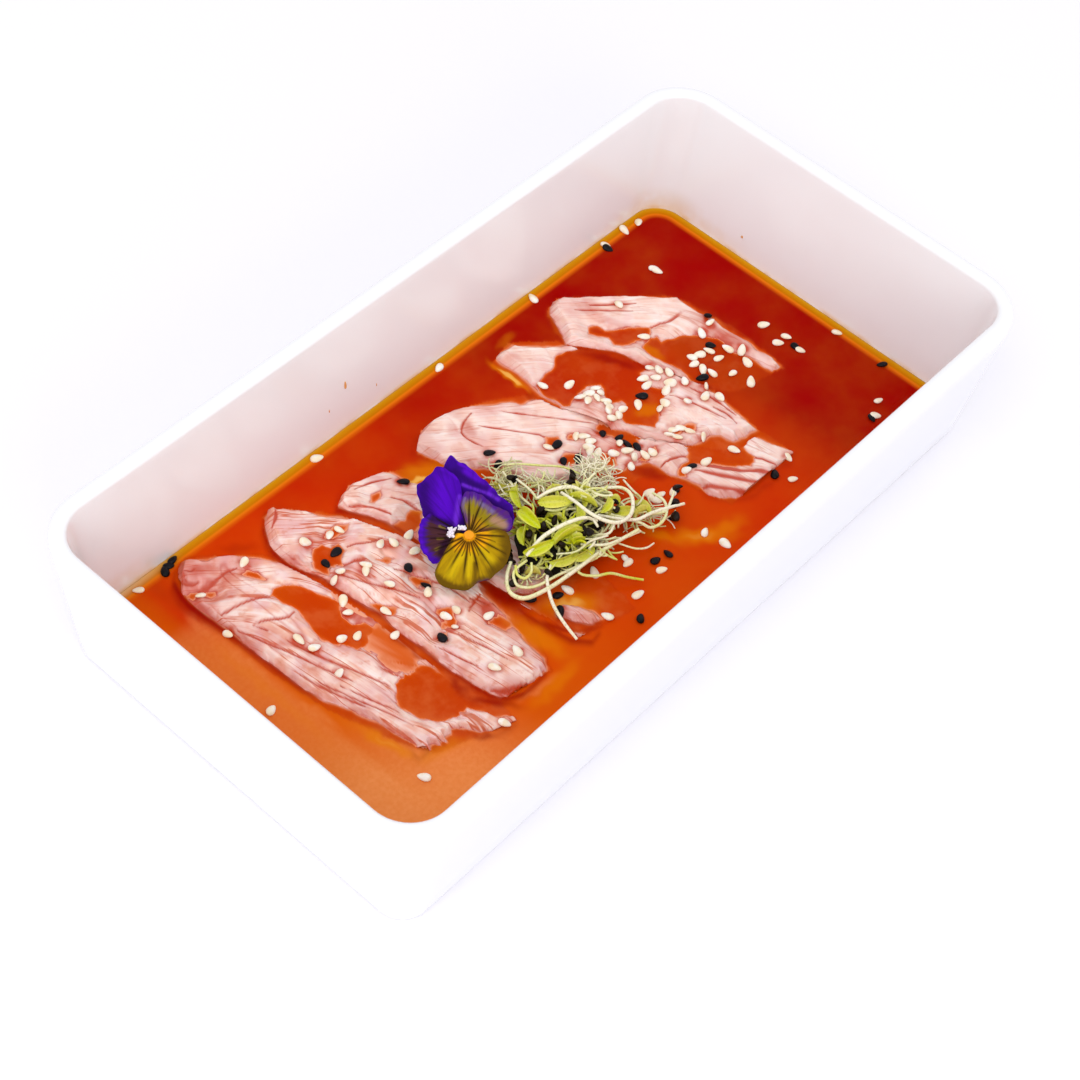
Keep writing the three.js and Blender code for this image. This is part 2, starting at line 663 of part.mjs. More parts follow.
function petalGeometry(petal) {
  const front = [];
  const back = [];
  for (let row = 0; row <= PETAL_ROWS; row += 1) {
    const along = row / PETAL_ROWS;
    const frontRow = [];
    const backRow = [];
    for (let column = 0; column <= PETAL_COLUMNS; column += 1) {
      const across = 1 - (2 * column) / PETAL_COLUMNS;
      const fromMiddle = 0.5 * petal.spread * across * petalOpening(along);
      const angle = THREE.MathUtils.degToRad(petal.direction + fromMiddle);
      const round = (1 - petal.blunt * across ** 4 * along) * (1 + petal.lopsided * across);
      const distance = petal.start + (petal.length - petal.start) * along * round;
      const ripple = petal.ruffle * Math.sin(2.6 * Math.PI * across + petal.direction) * along * along;
      const z = petal.layer + petal.cup * along * along + ripple;
      const [x, y] = [distance * Math.cos(angle), distance * Math.sin(angle)];
      frontRow.push([x, y, z]);
      backRow.push([x, y, z - PETAL_THICKNESS]);
    }
    front.push(frontRow);
    back.push(backRow);
  }
  return sheet(front, back);
}

function eyeGeometry() {
  const eye = new THREE.SphereGeometry(EYE_RADIUS, 10, 6);
  eye.rotateX(Math.PI / 2);
  eye.scale(1, 1, EYE_FLATNESS);
  eye.translate(0, 0, EYE_HEIGHT + EYE_RADIUS);
  return eye;
}

function calyxGeometry() {
  const points = [];
  const count = 2 * CALYX.sepals;
  for (let i = 0; i < count; i += 1) {
    const angle = (Math.PI * i) / CALYX.sepals;
    const radius = CALYX.radius * (i % 2 === 0 ? 1 : CALYX.notch);
    points.push(new THREE.Vector2(radius * Math.cos(angle), radius * Math.sin(angle)));
  }
  const star = new THREE.Shape(points);
  const calyx = new THREE.ExtrudeGeometry(star, { depth: CALYX.depth, bevelEnabled: false });
  calyx.translate(0, 0, CALYX.layer - CALYX.depth);
  return calyx;
}

// Materials

function material(color, roughness) {
  return new THREE.MeshStandardMaterial({ color, roughness, metalness: 0 });
}

const PORCELAIN = material(0xf6f3f6, 0.18);
const SAUCE = material(0xc03c0a, 0.12);
const FISH = material(0xeec2bc, 0.35);
const SPROUT = material(0xc9cf5a, 0.5);
const VIOLET = material(0x4b0aa0, 0.55);
const GOLD = material(0xb09416, 0.55);
const STYLE = material(0xe8a21c, 0.5);
const LEAF_GREEN = material(0x6f8f2c, 0.55);

// Assembly

const carpaccio = new THREE.Group();

function place(parent, name, geometry, finish) {
  const mesh = new THREE.Mesh(geometry, finish);
  mesh.name = name;
  parent.add(mesh);
}

place(carpaccio, "dish", dishGeometry(), PORCELAIN);

const seeds = scatterSeeds();
const seedsOn = (host) => seeds.filter((seed) => seed.host === host).map((seed) => seed.solid);
place(carpaccio, "sauce", geometryFrom(fuse(sauceSolid(), seedsOn("sauce"))), SAUCE);
SLICES.forEach((slice, index) => {
  const solid = fuse(solidOf(sliceGeometry(slice, index)), seedsOn(index));
  place(carpaccio, `tuna_slice_${index + 1}`, geometryFrom(solid), FISH);
});

place(carpaccio, "sprouts", geometryFrom(sproutSolid()), SPROUT);

const viola = new THREE.Group();
viola.applyMatrix4(leanOfViola());
carpaccio.add(viola);
for (const petal of PETALS) {
  const finish = petal.name.endsWith("lip") || petal.name.endsWith("side_right") ? GOLD : VIOLET;
  place(viola, petal.name, petalGeometry(petal), finish);
}
place(viola, "viola_eye", eyeGeometry(), STYLE);
place(viola, "viola_calyx", calyxGeometry(), LEAF_GREEN);

export default carpaccio;
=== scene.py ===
"""Dresses a packed dish of fish carpaccio with porcelain, sauce, fish, seeds, sprouts and a viola."""

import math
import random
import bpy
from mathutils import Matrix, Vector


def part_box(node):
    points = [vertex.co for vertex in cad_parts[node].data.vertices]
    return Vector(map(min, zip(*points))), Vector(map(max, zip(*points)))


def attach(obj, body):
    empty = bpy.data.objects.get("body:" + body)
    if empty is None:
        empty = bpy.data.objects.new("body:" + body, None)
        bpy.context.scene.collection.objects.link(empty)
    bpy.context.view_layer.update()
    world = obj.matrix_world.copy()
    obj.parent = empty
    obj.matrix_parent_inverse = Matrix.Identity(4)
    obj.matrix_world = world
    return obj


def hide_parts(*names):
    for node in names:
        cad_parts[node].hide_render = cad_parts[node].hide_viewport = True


bl_info = {
    "name": "Fish Carpaccio Dish",
    "version": (1, 0, 0),
    "blender": (4, 5, 0),
    "location": "View3D > Sidebar > Carpaccio",
    "description": "Builds fish carpaccio in red sauce with sesame, sprouts and a viola",
    "category": "Add Mesh",
}

import bpy
import numpy as np
from bpy.props import FloatProperty, FloatVectorProperty, IntProperty, PointerProperty
from bpy.types import Operator, Panel, PropertyGroup
from mathutils import Euler, Matrix, Vector
from mathutils.bvhtree import BVHTree

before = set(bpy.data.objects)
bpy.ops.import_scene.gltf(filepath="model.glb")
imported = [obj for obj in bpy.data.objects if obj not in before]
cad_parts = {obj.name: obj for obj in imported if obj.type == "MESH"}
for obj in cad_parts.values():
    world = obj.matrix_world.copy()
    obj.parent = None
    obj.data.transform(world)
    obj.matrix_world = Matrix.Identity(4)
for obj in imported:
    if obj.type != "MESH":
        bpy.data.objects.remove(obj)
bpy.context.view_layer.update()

# Lengths in the tables are millimetres, and meshes are metres
MM = 0.001

# Dish, as rounded rectangles: half length, half width, corner radius
DISH_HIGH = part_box("dish")[1] / MM
RIM_OUTSIDE = (DISH_HIGH.x, DISH_HIGH.y, 14.5)
RIM_INSIDE = (DISH_HIGH.x - 4.3, DISH_HIGH.y - 4.3, 11.0)
WALL_FOOT = (108.1, 53.9, 8.8)
BASE_OUTSIDE = (111.8, 56.0, 7.5)
DISH_HEIGHT = DISH_HIGH.z
FLOOR_TOP = 3.5
FILLET = 6.0
BASE_ROUNDING = 1.5
LIP_RISE = 1.4
FOOT_WIDTH = 5.7
FOOT_INSET = 1.8
FOOT_DEPTH = 1.0

# Sauce
LEVEL = 8.0
SAUCE_GAP = 0.12
EDGE_REACH = 0.2
WALL_BAND = 4.8
# painted shadow: the sauce is darker on one side of the raised fish, as the fish's shadow: which way, how far, how
# strong
SHADOW_SIDE = (0.83, 0.55)
BANK_SHADOWS = ((1.0, 1.0), (2.2, 0.95), (3.6, 0.5))
# lighter patches: x, y, half length, half width, turn, strength
AMBER_PATCHES = (
    (21, -34, 9, 2.6, -38, 0.7), (27, -37, 6, 2.4, -8, 0.55), (14, -27, 5, 1.6, -70, 0.6),
    (-91, 8, 1.6, 18, 0, 0.2), (25.8, 36.5, 0.9, 6.5, 0, 1.0), (-23, 21, 3, 5, 20, 0.8), (-33, -26, 3, 9, 8, 0.6),
    (-14.5, 29.5, 8, 3.4, -20, 0.62), (-17.6, 29, 4.5, 1.1, -24, 1.0), (35, 46, 3.6, 1.2, 10, 0.3), (-40, -38, 9, 2, 4, 0.5),
    (-81.5, -22, 1.6, 8, 12, 0.7), (-74, -31.5, 7, 1.6, -18, 0.5), (61, 16, 2, 4, 0, 0.5), (44, 3, 4, 2, -20, 0.5),
    (50, 40, 2, 5, -30, 0.35), (-82, -20, 1.6, 9, 12, 0.4), (-20, -24.6, 7, 3, -37, 0.85),
)

# thin films of sauce on the fish: x, y, half length, half width, turn, strength
FILM_PATCHES = (
    (-79.6, 35, 4, 1.4, -10, 0.6), (-76, 38.4, 5, 1.6, 10, 0.6), (-79, 45, 5, 1.6, -30, 0.6), (-66, -2, 8, 2.4, -75, 0.3),
    (-81.5, 40.5, 4, 1.3, 0, 0.75), (-83.4, 46, 2.6, 0.9, 60, 0.6), (-74, 48, 4, 0.8, -30, 0.5), (-69.6, 37, 2.4, 3.6, -20, 0.4), (-60.4, 32, 1.6, 5, 30, 0.3),
    (80.5, 3, 8, 2.8, -80, 0.75), (79, 16, 5, 2, -75, 0.25), (3, 30.4, 3.4, 1.8, 60, 0.6), (0, 34, 3, 1.6, 50, 0.3),
    (-28.5, 32, 3, 1.6, -30, 0.3), (-25, 27, 4, 2, -40, 0.25), (27, 8, 5, 2.6, -40, 0.35), (36, -6, 5, 3, -30, 0.35),
    (58, -2, 6, 2.4, -80, 0.3), (40, 12, 4, 2, -30, 0.25), (57.6, 9, 4, 1.6, -70, 0.3), (-36, -12, 6, 2, -85, 0.3),
    (-50, -30, 5, 1.6, -30, 0.3), (-34.6, 14, 5, 1.6, -75, 0.25), (-70, -24, 4, 2.2, -20, 0.25), (-47, 30, 5, 2, -20, 0.25),
    (-19, -29.6, 5, 2.2, -50, 0.35), (-79, 32, 6, 3, -70, 0.16), (-79, -2, 9, 3, -75, 0.14),
    (33, 30, 7, 4, -60, 0.14), (62, 28, 7, 4, -60, 0.12),
)

# pale patches, partly cloudy sauce and partly painted reflection: x, y, half length, half width, turn, strength
MILK_AND_SHEEN_PATCHES = (
    (-90, 32, 6, 1.6, 80, 0.45), (-89, 18, 12, 1.5, 88, 0.45), (-87.8, -2, 10, 1.2, -84, 0.4),
    (-72, -31.5, 6, 1.0, 0, 0.6), (-66, -36, 3, 0.8, -40, 0.5), (-44, -36, 6, 0.9, -4, 0.4),
)

# painted shadows, as darker red patches in the sauce beside the fish: x, y, half length, half width, turn, strength
SHADOW_PATCHES = (
    (-29.6, -11, 8, 3.2, -82, 0.9), (-27.4, -27, 5.6, 0.9, -58, 0.75), (-21.8, -33.4, 3.6, 0.8, -24, 0.6),
    (-58, -6, 9, 0.8, 90, 0.6), (-57.4, -22, 3.4, 1.3, 80, 0.7), (-55, -31, 6, 1.3, -60, 0.8),
    (-63.5, -36.5, 3, 0.9, -50, 0.7), (50.5, 22, 9, 1.5, -62, 0.75), (25, 27, 3.4, 1.2, 62, 0.5),
    (27.5, -11, 5, 2.2, -62, 0.7), (62, -2, 3.4, 1.6, 80, 0.5), (-66, 44, 5, 1.4, -38, 0.3),
)

# Fish slices: each lies on the one before it and sinks towards its own right edge
SLICE_THICKNESS = 3.0
SLICE_EDGE = 0.45
SLICE_TAPER = 5.0
SLICE_THINNEST = 0.6
SLICE_GAP = 0.1
OVERLAP_MARGIN = 0.5
CURL_REACH = 12.0
EDGE_SAMPLES = 24
SHORE_SLOPE = 1.3
POOL_SLOPE = 0.55

# left and right are a slice's edges from its raised tip to its tail
# land is the part that stands out of the sauce, and sink is how deep the rest lies
# a pool is the depth of sauce over the fish and the pool's shore
# a cut is its half width and the line that it follows
# each slice's painted shadow in the sauce beside it has a strength, and a y span over which it grows from 0.3 to full
SLICES = (
    {
        "left": ((-81, 50.6), (-86.6, 42), (-87, 20), (-84.8, -3), (-80, -21), (-75, -31.5)),
        "right": ((-77.6, 51), (-65, 40.4), (-55.8, 25), (-49, 5), (-50, -18), (-55.5, -38.5)),
        "rise": 1.6, "fall": 1.5, "reach": 30, "grain": 1.0, "curl": 0.9, "blush_from": 38, "sink": 1.0,
        "painted_shadow": (1.0, -6, 6),
        "land": ((-79, 51), (-77.3, 49.5), (-75.5, 47.3), (-72, 46), (-69.3, 44), (-67.3, 41),
                 (-65.2, 38.6), (-63.8, 36.2), (-62.4, 33.8), (-61.2, 31.6), (-59.4, 29), (-57.6, 25.5),
                 (-56.6, 22),
                 (-57.8, 15), (-57.9, 7), (-57.4, 0), (-57, -8), (-58, -16), (-60, -22),
                 (-59, -27), (-60.5, -29), (-59, -32), (-57, -35), (-54.3, -37), (-55, -39),
                 (-58, -38.7), (-61.3, -37.3), (-63.7, -35), (-65.5, -31.5), (-67.5, -29),
                 (-71, -30.3), (-74, -29.6), (-79, -29.5), (-79, -27.5), (-77.3, -26), (-78, -21),
                 (-79, -16), (-80.5, -11), (-82, -6), (-83.5, -1), (-84.3, 4), (-84.8, 12),
                 (-85.5, 22), (-86, 31), (-86.5, 40), (-86, 44), (-84.5, 48), (-82, 50)),
        "pools": (
            (1.5, ((-71, 28.4), (-69, 29.2), (-66.8, 28.8), (-65, 27.2), (-63.4, 25), (-62.6, 22),
                   (-61.4, 19), (-60.6, 16), (-61.4, 14.4), (-62.6, 12), (-62.6, 8), (-60.5, 6.5),
                   (-60, 4.5), (-64, 2.4), (-67.6, 1.2), (-68, 3), (-69.6, 6), (-70.6, 8),
                   (-71.7, 11), (-71, 14), (-70.4, 16), (-70, 18), (-69.6, 20.5), (-70, 22.5),
                   (-70.6, 26))),
            (1.5, ((-72.2, -16), (-70.5, -13), (-67, -10.3), (-61, -10.8), (-58.5, -14),
                   (-57.5, -20), (-54.5, -25), (-55, -33), (-58, -31.5), (-61, -28.2), (-64, -27.6),
                   (-67.3, -26.5), (-69.5, -24.5), (-71.3, -21.5))),
            (0.14, ((-66.5, 2), (-61, 5.2), (-57.5, 4), (-57.5, -11), (-63.5, -10.5), (-65.8, -8.5),
                    (-66.5, -5.5), (-65.3, -2))),
            (0.5, ((-83, 39.8), (-81.4, 40), (-79.6, 38.6), (-80.4, 37.2), (-82.4, 37.6))),
            (0.7, ((-71.6, 38.2), (-69.4, 37.8), (-68, 35.6), (-68.2, 32.6), (-70, 33.8), (-70.8, 36))),
            (0.55, ((-86.4, 42.2), (-84.4, 42.4), (-82.6, 41.4), (-83, 40.2), (-86, 40))),
        ),
        "cuts": (
            (0.45, ((-84, 41.2), (-80, 40.4), (-77, 40.3), (-74, 40.6), (-71.5, 39.8))),
            (0.55, ((-84.8, 47), (-84, 45), (-82.6, 43.4), (-81.4, 43))),
            (0.5, ((-81.8, 47.2), (-80.6, 45.9), (-79.8, 45.9))),
            (0.42, ((-84.4, 31.6), (-80, 31.1), (-77, 30.4), (-74.5, 29.6), (-72.5, 28.6), (-70.5, 28))),
            (0.42, ((-81, 24), (-79, 23.8), (-77, 22.8), (-74.5, 21.1), (-72.5, 20.3), (-70.5, 20.7))),
            (0.5, ((-80.8, 23.4), (-80, 22), (-79.6, 20.8))),
            (0.35, ((-67.5, -5), (-66.8, -7), (-66, -9.8))),
            (0.25, ((-83, 6), (-82, 0), (-80.5, -5), (-78.6, -11))),
            (0.5, ((-66, -34.6), (-63.6, -36), (-61.6, -38))),
            (0.28, ((-84.6, 26), (-82.3, 18), (-79.4, 9.5), (-77.6, 3), (-75, -5))),
            (0.3, ((-78.4, 16), (-75.5, 6), (-72.5, -3), (-69.8, -11))),
            (0.22, ((-81.5, 2), (-79, -7), (-76, -16), (-74.4, -23))),
            (0.22, ((-78.5, -3), (-76, -11), (-73.5, -18))),
        ),
    },
    {
        "left": ((-55.5, 47.5), (-61.5, 38), (-58.7, 20), (-57.2, 0), (-56.8, -16), (-53.5, -32)),
        "right": ((-51, 48), (-42.6, 37.4), (-29.6, 23.6), (-27, 8), (-29, -16), (-38, -35)),
        "rise": 1.9, "fall": 1.3, "reach": 27, "grain": 1.0, "curl": 1.3, "blush_from": 60, "sink": 0.55,
        "painted_shadow": (0.95, -70, -60),
        "land": ((-53, 48.2), (-51, 47.6), (-50.6, 46), (-48, 43.5), (-46, 41), (-45, 38),
                 (-43, 35), (-40.5, 32.3), (-38, 30.7), (-36, 29.6), (-34.6, 27), (-33.4, 24),
                 (-33, 21.5), (-34, 18), (-31, 8), (-31, -4), (-33, -9), (-33.6, -13), (-34, -17),
                 (-35.3, -20), (-36, -24), (-36.5, -28), (-36.8, -31.5), (-39.3, -34), (-43, -34.4),
                 (-47.5, -34.4), (-51.5, -32.6), (-53.8, -29), (-54.7, -24), (-55, -20),
                 (-55.6, -15), (-55.3, -8), (-56, -2), (-55.2, 5), (-56.3, 11), (-57.2, 17),
                 (-57.7, 24), (-60, 28.5), (-61, 33), (-60.5, 38), (-58.8, 42), (-56.5, 45.5)),
        "pools": (
            (0.9, ((-57.7, 27), (-56, 29.5), (-53, 31.5), (-50.5, 31), (-50, 29), (-47.3, 28.2),
                   (-47.6, 25.5), (-50, 24.6), (-51.6, 23.2), (-54, 24.4), (-56.6, 23.2))),
            (0.4, ((-49.3, 31.5), (-46.5, 33.2), (-43.5, 32.7), (-41.2, 31), (-44, 29.9),
                   (-47.3, 29.9))),
            (0.6, ((-44.6, 18.3), (-42.2, 17.4), (-41, 15), (-43.4, 15.7))),
            (0.6, ((-56, 9.2), (-54.4, 9.7), (-52.8, 7), (-51.4, 4), (-54.2, 3.6), (-56, 6))),
            (0.5, ((-45.6, -3.2), (-43.6, -3.4), (-41.5, -5), (-41.6, -6.8), (-44, -8.6),
                   (-46.6, -9), (-48.6, -7.6), (-46, -6.3))),
            (0.7, ((-38.8, -14.6), (-35, -14.6), (-34.4, -20), (-37, -18.8))),
            (0.4, ((-52, -9), (-50, -8.4), (-47.8, -9.6), (-49.6, -11.6))),
            (0.4, ((-43.2, 8.3), (-40.8, 7.6), (-39, 5), (-40.4, 2.8), (-43.6, 4.6))),
        ),
        "cuts": (
            (0.4, ((-53.5, 24), (-50, 21.3), (-47, 19.6))),
            (0.7, ((-53.4, -28.5), (-51.4, -31.6), (-48.6, -33.2), (-45.6, -33.6))),
            (0.5, ((-52.6, 45.6), (-54.4, 43.6), (-57, 42.2))),
            (0.4, ((-36.8, -6.6), (-35.4, -8.4), (-34.6, -11))),
            (0.3, ((-47, 26), (-42, 22.6), (-38, 21.4))),
            (0.25, ((-54, -10), (-52.6, -16), (-51, -22))),
            (0.25, ((-47, -12), (-45, -20), (-44, -27))),
            (0.25, ((-55, 20), (-52, 14), (-48.5, 8), (-46, 2))),
            (0.25, ((-44, 13), (-41, 8), (-38.5, 1), (-37.5, -8))),
            (0.3, ((-40, -9), (-37, -8), (-34, -7.4))),
        ),
    },
    {
        "left": ((-40.5, 36.5), (-38.5, 30), (-34, 18), (-31, 3), (-29, -14), (-25.5, -33)),
        "right": ((-32, 40), (-21, 36), (-9, 26), (-4, 8), (-5, -15), (-9, -37)),
        "rise": 1.7, "fall": 1.2, "reach": 25, "grain": 0.7, "curl": 0.3, "blush_from": 60, "sink": 0.75,
        "painted_shadow": (0.8, -70, -60),
        "land": ((-39.5, 37), (-37, 38.7), (-33, 39.7), (-28, 38.7), (-22, 36.5), (-16, 34), (-12, 30),
                 (-12, 10), (-13, -10), (-16, -16), (-24, -16), (-28, -12), (-30, 0), (-32, 12),
                 (-33, 21), (-34, 26), (-36.5, 31)),
        "lobes": (
            ((-24.6, -25), (-23, -23.4), (-21, -24), (-19, -27), (-17.3, -31), (-17.6, -33.2),
             (-20, -32.4), (-22.4, -29)),
            ((-29.6, -15), (-28.2, -16), (-27.6, -21), (-27.4, -27), (-26, -31.4), (-23.4, -34.4),
             (-20.4, -35.2), (-24, -36), (-27.4, -32), (-28.6, -26), (-29.6, -20)),
        ),
        "pools": (
            (0.7, ((-32.4, 32.3), (-30.5, 33.6), (-27.7, 32.9), (-29.3, 31.2), (-31.6, 31.2))),
            (0.6, ((-22, 36.5), (-16, 35), (-8, 32), (-8, 25), (-17, 25), (-20.5, 30))),
            (0.6, ((-34, 23), (-30.4, 22), (-27, 23.6), (-25, 21), (-28, 17), (-34, 18))),
        ),
        "cuts": (
            (0.4, ((-37.5, 34.5), (-34, 30), (-32, 25))),
            (0.3, ((-28, 29), (-26, 25), (-25, 20))),
            (0.3, ((-33, 37), (-28, 36), (-23, 33.6))),
        ),
    },
    {
        "left": ((-12.5, 35), (-9, 25), (-1, 7), (13, -8), (28, -13), (35, -33)),
        "right": ((-5, 40), (12, 36.5), (36, 20), (50, 1), (60, -18), (61.5, -33.5)),
        "rise": 1.8, "fall": 1.1, "reach": 34, "grain": 0.45, "curl": 0.4, "blush_from": 60, "sink": 0.9,
        "painted_shadow": (0.3, -70, -60),
        "land": ((-12, 37), (-8, 39.3), (-3, 40.3), (2, 40.3), (6, 39), (9, 37.2), (11.5, 35.6),
                 (14, 33.6), (17, 31.6), (19.3, 30), (20, 28), (22, 27.2), (25, 26), (27, 24.6),
                 (30, 22), (40, 16), (52, 4), (60, -2), (61, -18), (57.6, -23), (58.6, -26.5),
                 (60, -30), (62, -33), (58, -35), (55, -33.4), (52, -34.4), (49, -35.7), (46, -34.7),
                 (43, -35.2), (40, -34.2), (37, -31.7), (34.3, -29), (32.8, -26), (34, -23),
                 (33, -19), (31, -16), (31, -12), (30.4, -9), (28, -7.3), (23, -5), (21, 0),
                 (13, 0), (4, 6), (0, 14), (-3, 20), (-9, 26)),
        "pools": (
            (1.0, ((41, -12.6), (45.5, -14.2), (50, -12.5), (52, -19), (53, -22), (52.2, -27),
                   (49, -28.4), (46, -26), (43, -22), (40.6, -19), (38, -17.6), (35, -17),
                   (33.6, -18.6), (32, -17), (34, -15.5), (38.5, -15.4))),
            (0.5, ((13, 8), (16, 9), (19.5, 6), (18, 3.4), (14.6, 4.6))),
            (0.5, ((15, 14.6), (17, 15.4), (19.8, 13.4), (17, 10.6), (15, 12))),
            (0.45, ((20.2, 11.4), (22.4, 12), (23.6, 10.4), (21.4, 9.4))),
            (0.6, ((21.6, 1), (24, 1.8), (25.4, -0.6), (23.6, -3.4), (21.4, -2.6))),
            (0.9, ((28.4, 8), (31.8, 9.6), (33, 8.6), (32, 5), (34.4, 2.4), (34, -3), (32, -4.4),
                   (30.4, -1), (30, 4), (28.4, 5.4))),
            (0.45, ((28, -6.6), (32, -6), (36, -6.6), (34, -8.4), (30, -8.4))),
        ),
        "cuts": (
            (0.3, ((8, 34.4), (4, 33.4), (1, 31.4), (0.4, 28.5), (1.2, 24))),
            (0.7, ((33.6, -24), (37, -29), (41, -34.4))),
            (0.75, ((36.4, -19.6), (40.6, -27), (45.6, -35))),
            (0.8, ((39.8, -19.4), (44.6, -26.4), (50.6, -34.6))),
            (0.5, ((52, -26), (52.6, -30), (54, -34))),
            (0.3, ((6, 30), (12, 22), (18, 14))),
            (0.25, ((14, 30), (22, 20), (30, 9))),
            (0.35, ((31, -12), (37, -13.5), (41, -15.5))),
        ),
    },
    {
        "left": ((24.5, 43), (25.5, 29), (29, 13), (34, 0), (42, -12), (50, -22)),
        "right": ((35, 45.5), (47, 35), (58.5, 20), (62.5, 3), (62.5, -12), (60.5, -22.5)),
        "rise": 2, "fall": 0.9, "reach": 26, "grain": 0.4, "curl": 0.5, "blush_from": 60, "sink": 0.6,
        "painted_shadow": (0.25, -70, -60),
        "land": ((27.8, 43.6), (30, 44.2), (34.6, 43.6), (36, 41.5), (38.5, 39), (41, 36.6),
                 (44, 34.2), (48, 32), (52, 28), (56, 22), (60, 14), (62.6, 8), (62.2, 3), (61.4, 0),
                 (63.2, -1.5), (61.2, -4), (62.6, -7), (61.3, -9.5), (60.7, -15), (60.3, -21.4),
                 (56, -20.8), (52.6, -19.4), (51.5, -16), (49.6, -14), (46, -13.4), (41.8, -12.4),
                 (38.4, -8.4), (35.4, -4), (34.4, -1), (34.6, 2), (31, 6), (27, 10), (26, 15),
                 (25.6, 18), (28, 20.4), (26.8, 26), (28, 31), (28.4, 36), (27.8, 40)),
        "pools": (
            (1.9, ((27, 26), (28.6, 29.3), (31, 30.2), (37, 31), (41, 33), (44, 32), (47.5, 30.6),
                   (50, 28), (55, 22), (57, 16), (57, 12.5), (53, 13), (51.8, 11), (51, 8),
                   (53, 5.3), (54, 3.6), (50, 3), (46, 1.4), (44, -1), (41, -2), (38.6, 1),
                   (36, 4), (37, 6.8), (41, 8.2), (41, 9.8), (38.6, 11.4), (39, 14), (41.2, 16),
                   (41.6, 18), (38.5, 19.8), (33, 19.8), (30.4, 18.8), (28.4, 20), (28.2, 22.5))),
            (0.4, ((42, -6), (43, -8.6), (45.4, -8.4), (48, -10.4), (50, -9), (48.4, -6.4),
                   (45.6, -6))),
        ),
        "cuts": (
            (0.35, ((57, -9), (57.6, -13), (56.8, -17))),
            (0.3, ((52, 2), (54.6, -6), (56, -14))),
            (0.3, ((58, 0), (59.4, -7), (59, -15))),
        ),
    },
    {
        "left": ((50.8, 46), (46, 35.5), (51, 25), (56, 13), (60.5, 2), (66, -9)),
        "right": ((57.5, 47.5), (68.5, 38), (82, 25), (85, 10), (85, -4), (84, -13)),
        "rise": 2.1, "fall": 0.9, "reach": 24, "grain": 0.45, "curl": 0.3, "blush_from": 60, "sink": 1.2,
        "painted_shadow": (0.7, -2, 8),
        "land": ((51, 44), (53, 46.2), (55.5, 47.2), (58, 46.6), (60, 44.6), (63, 42), (67, 38.6),
                 (71, 35.2), (75, 31.6), (79, 27.2), (82.3, 24), (82, 20), (82, 16), (83.4, 12.5),
                 (82.7, 8), (83, 3), (83.7, 0), (83, -4), (84.2, -9), (83, -11.7), (80.5, -11.2),
                 (79.6, -8), (80, -4), (78.3, -1), (77.6, 2), (70, 3), (64, 2), (62.4, -1),
                 (61, -5), (59, -3), (57.4, 3), (56, 9), (55.6, 16), (55, 20), (54, 23), (52, 25.6), (50, 28.6),
                 (48, 31), (45.6, 33.6), (48, 37), (50, 41)),
        "pools": (
            (1.0, ((53, 32.2), (55.5, 34), (57.8, 32.8), (57.6, 30), (60, 28.2), (63, 26.7),
                   (66, 24.2), (67.7, 22), (65.5, 20.3), (62.5, 21.2), (59.5, 21.8), (57, 22.8),
                   (55.3, 25), (56, 28), (54.4, 30))),
            (1.6, ((60.6, 19), (62.4, 20), (65, 19.8), (66.8, 18.4), (66, 16.4), (69, 15.5),
                   (73, 14), (75, 12), (77, 9.5), (78.4, 6.5), (79, 4), (77.4, 2), (78, -1),
                   (79.5, -4), (79.3, -8), (80, -12), (76, -16), (68, -14), (63, -8), (61, -3),
                   (61, 2), (62, 7), (60.5, 11), (60, 15))),
        ),
        "cuts": (
            (0.5, ((61, 38.5), (66, 34.6), (71, 30.4))),
            (0.4, ((67, 22.6), (72, 19.8), (78, 19.4))),
            (0.3, ((56, 40), (62, 35), (68, 29))),
        ),
    },
)

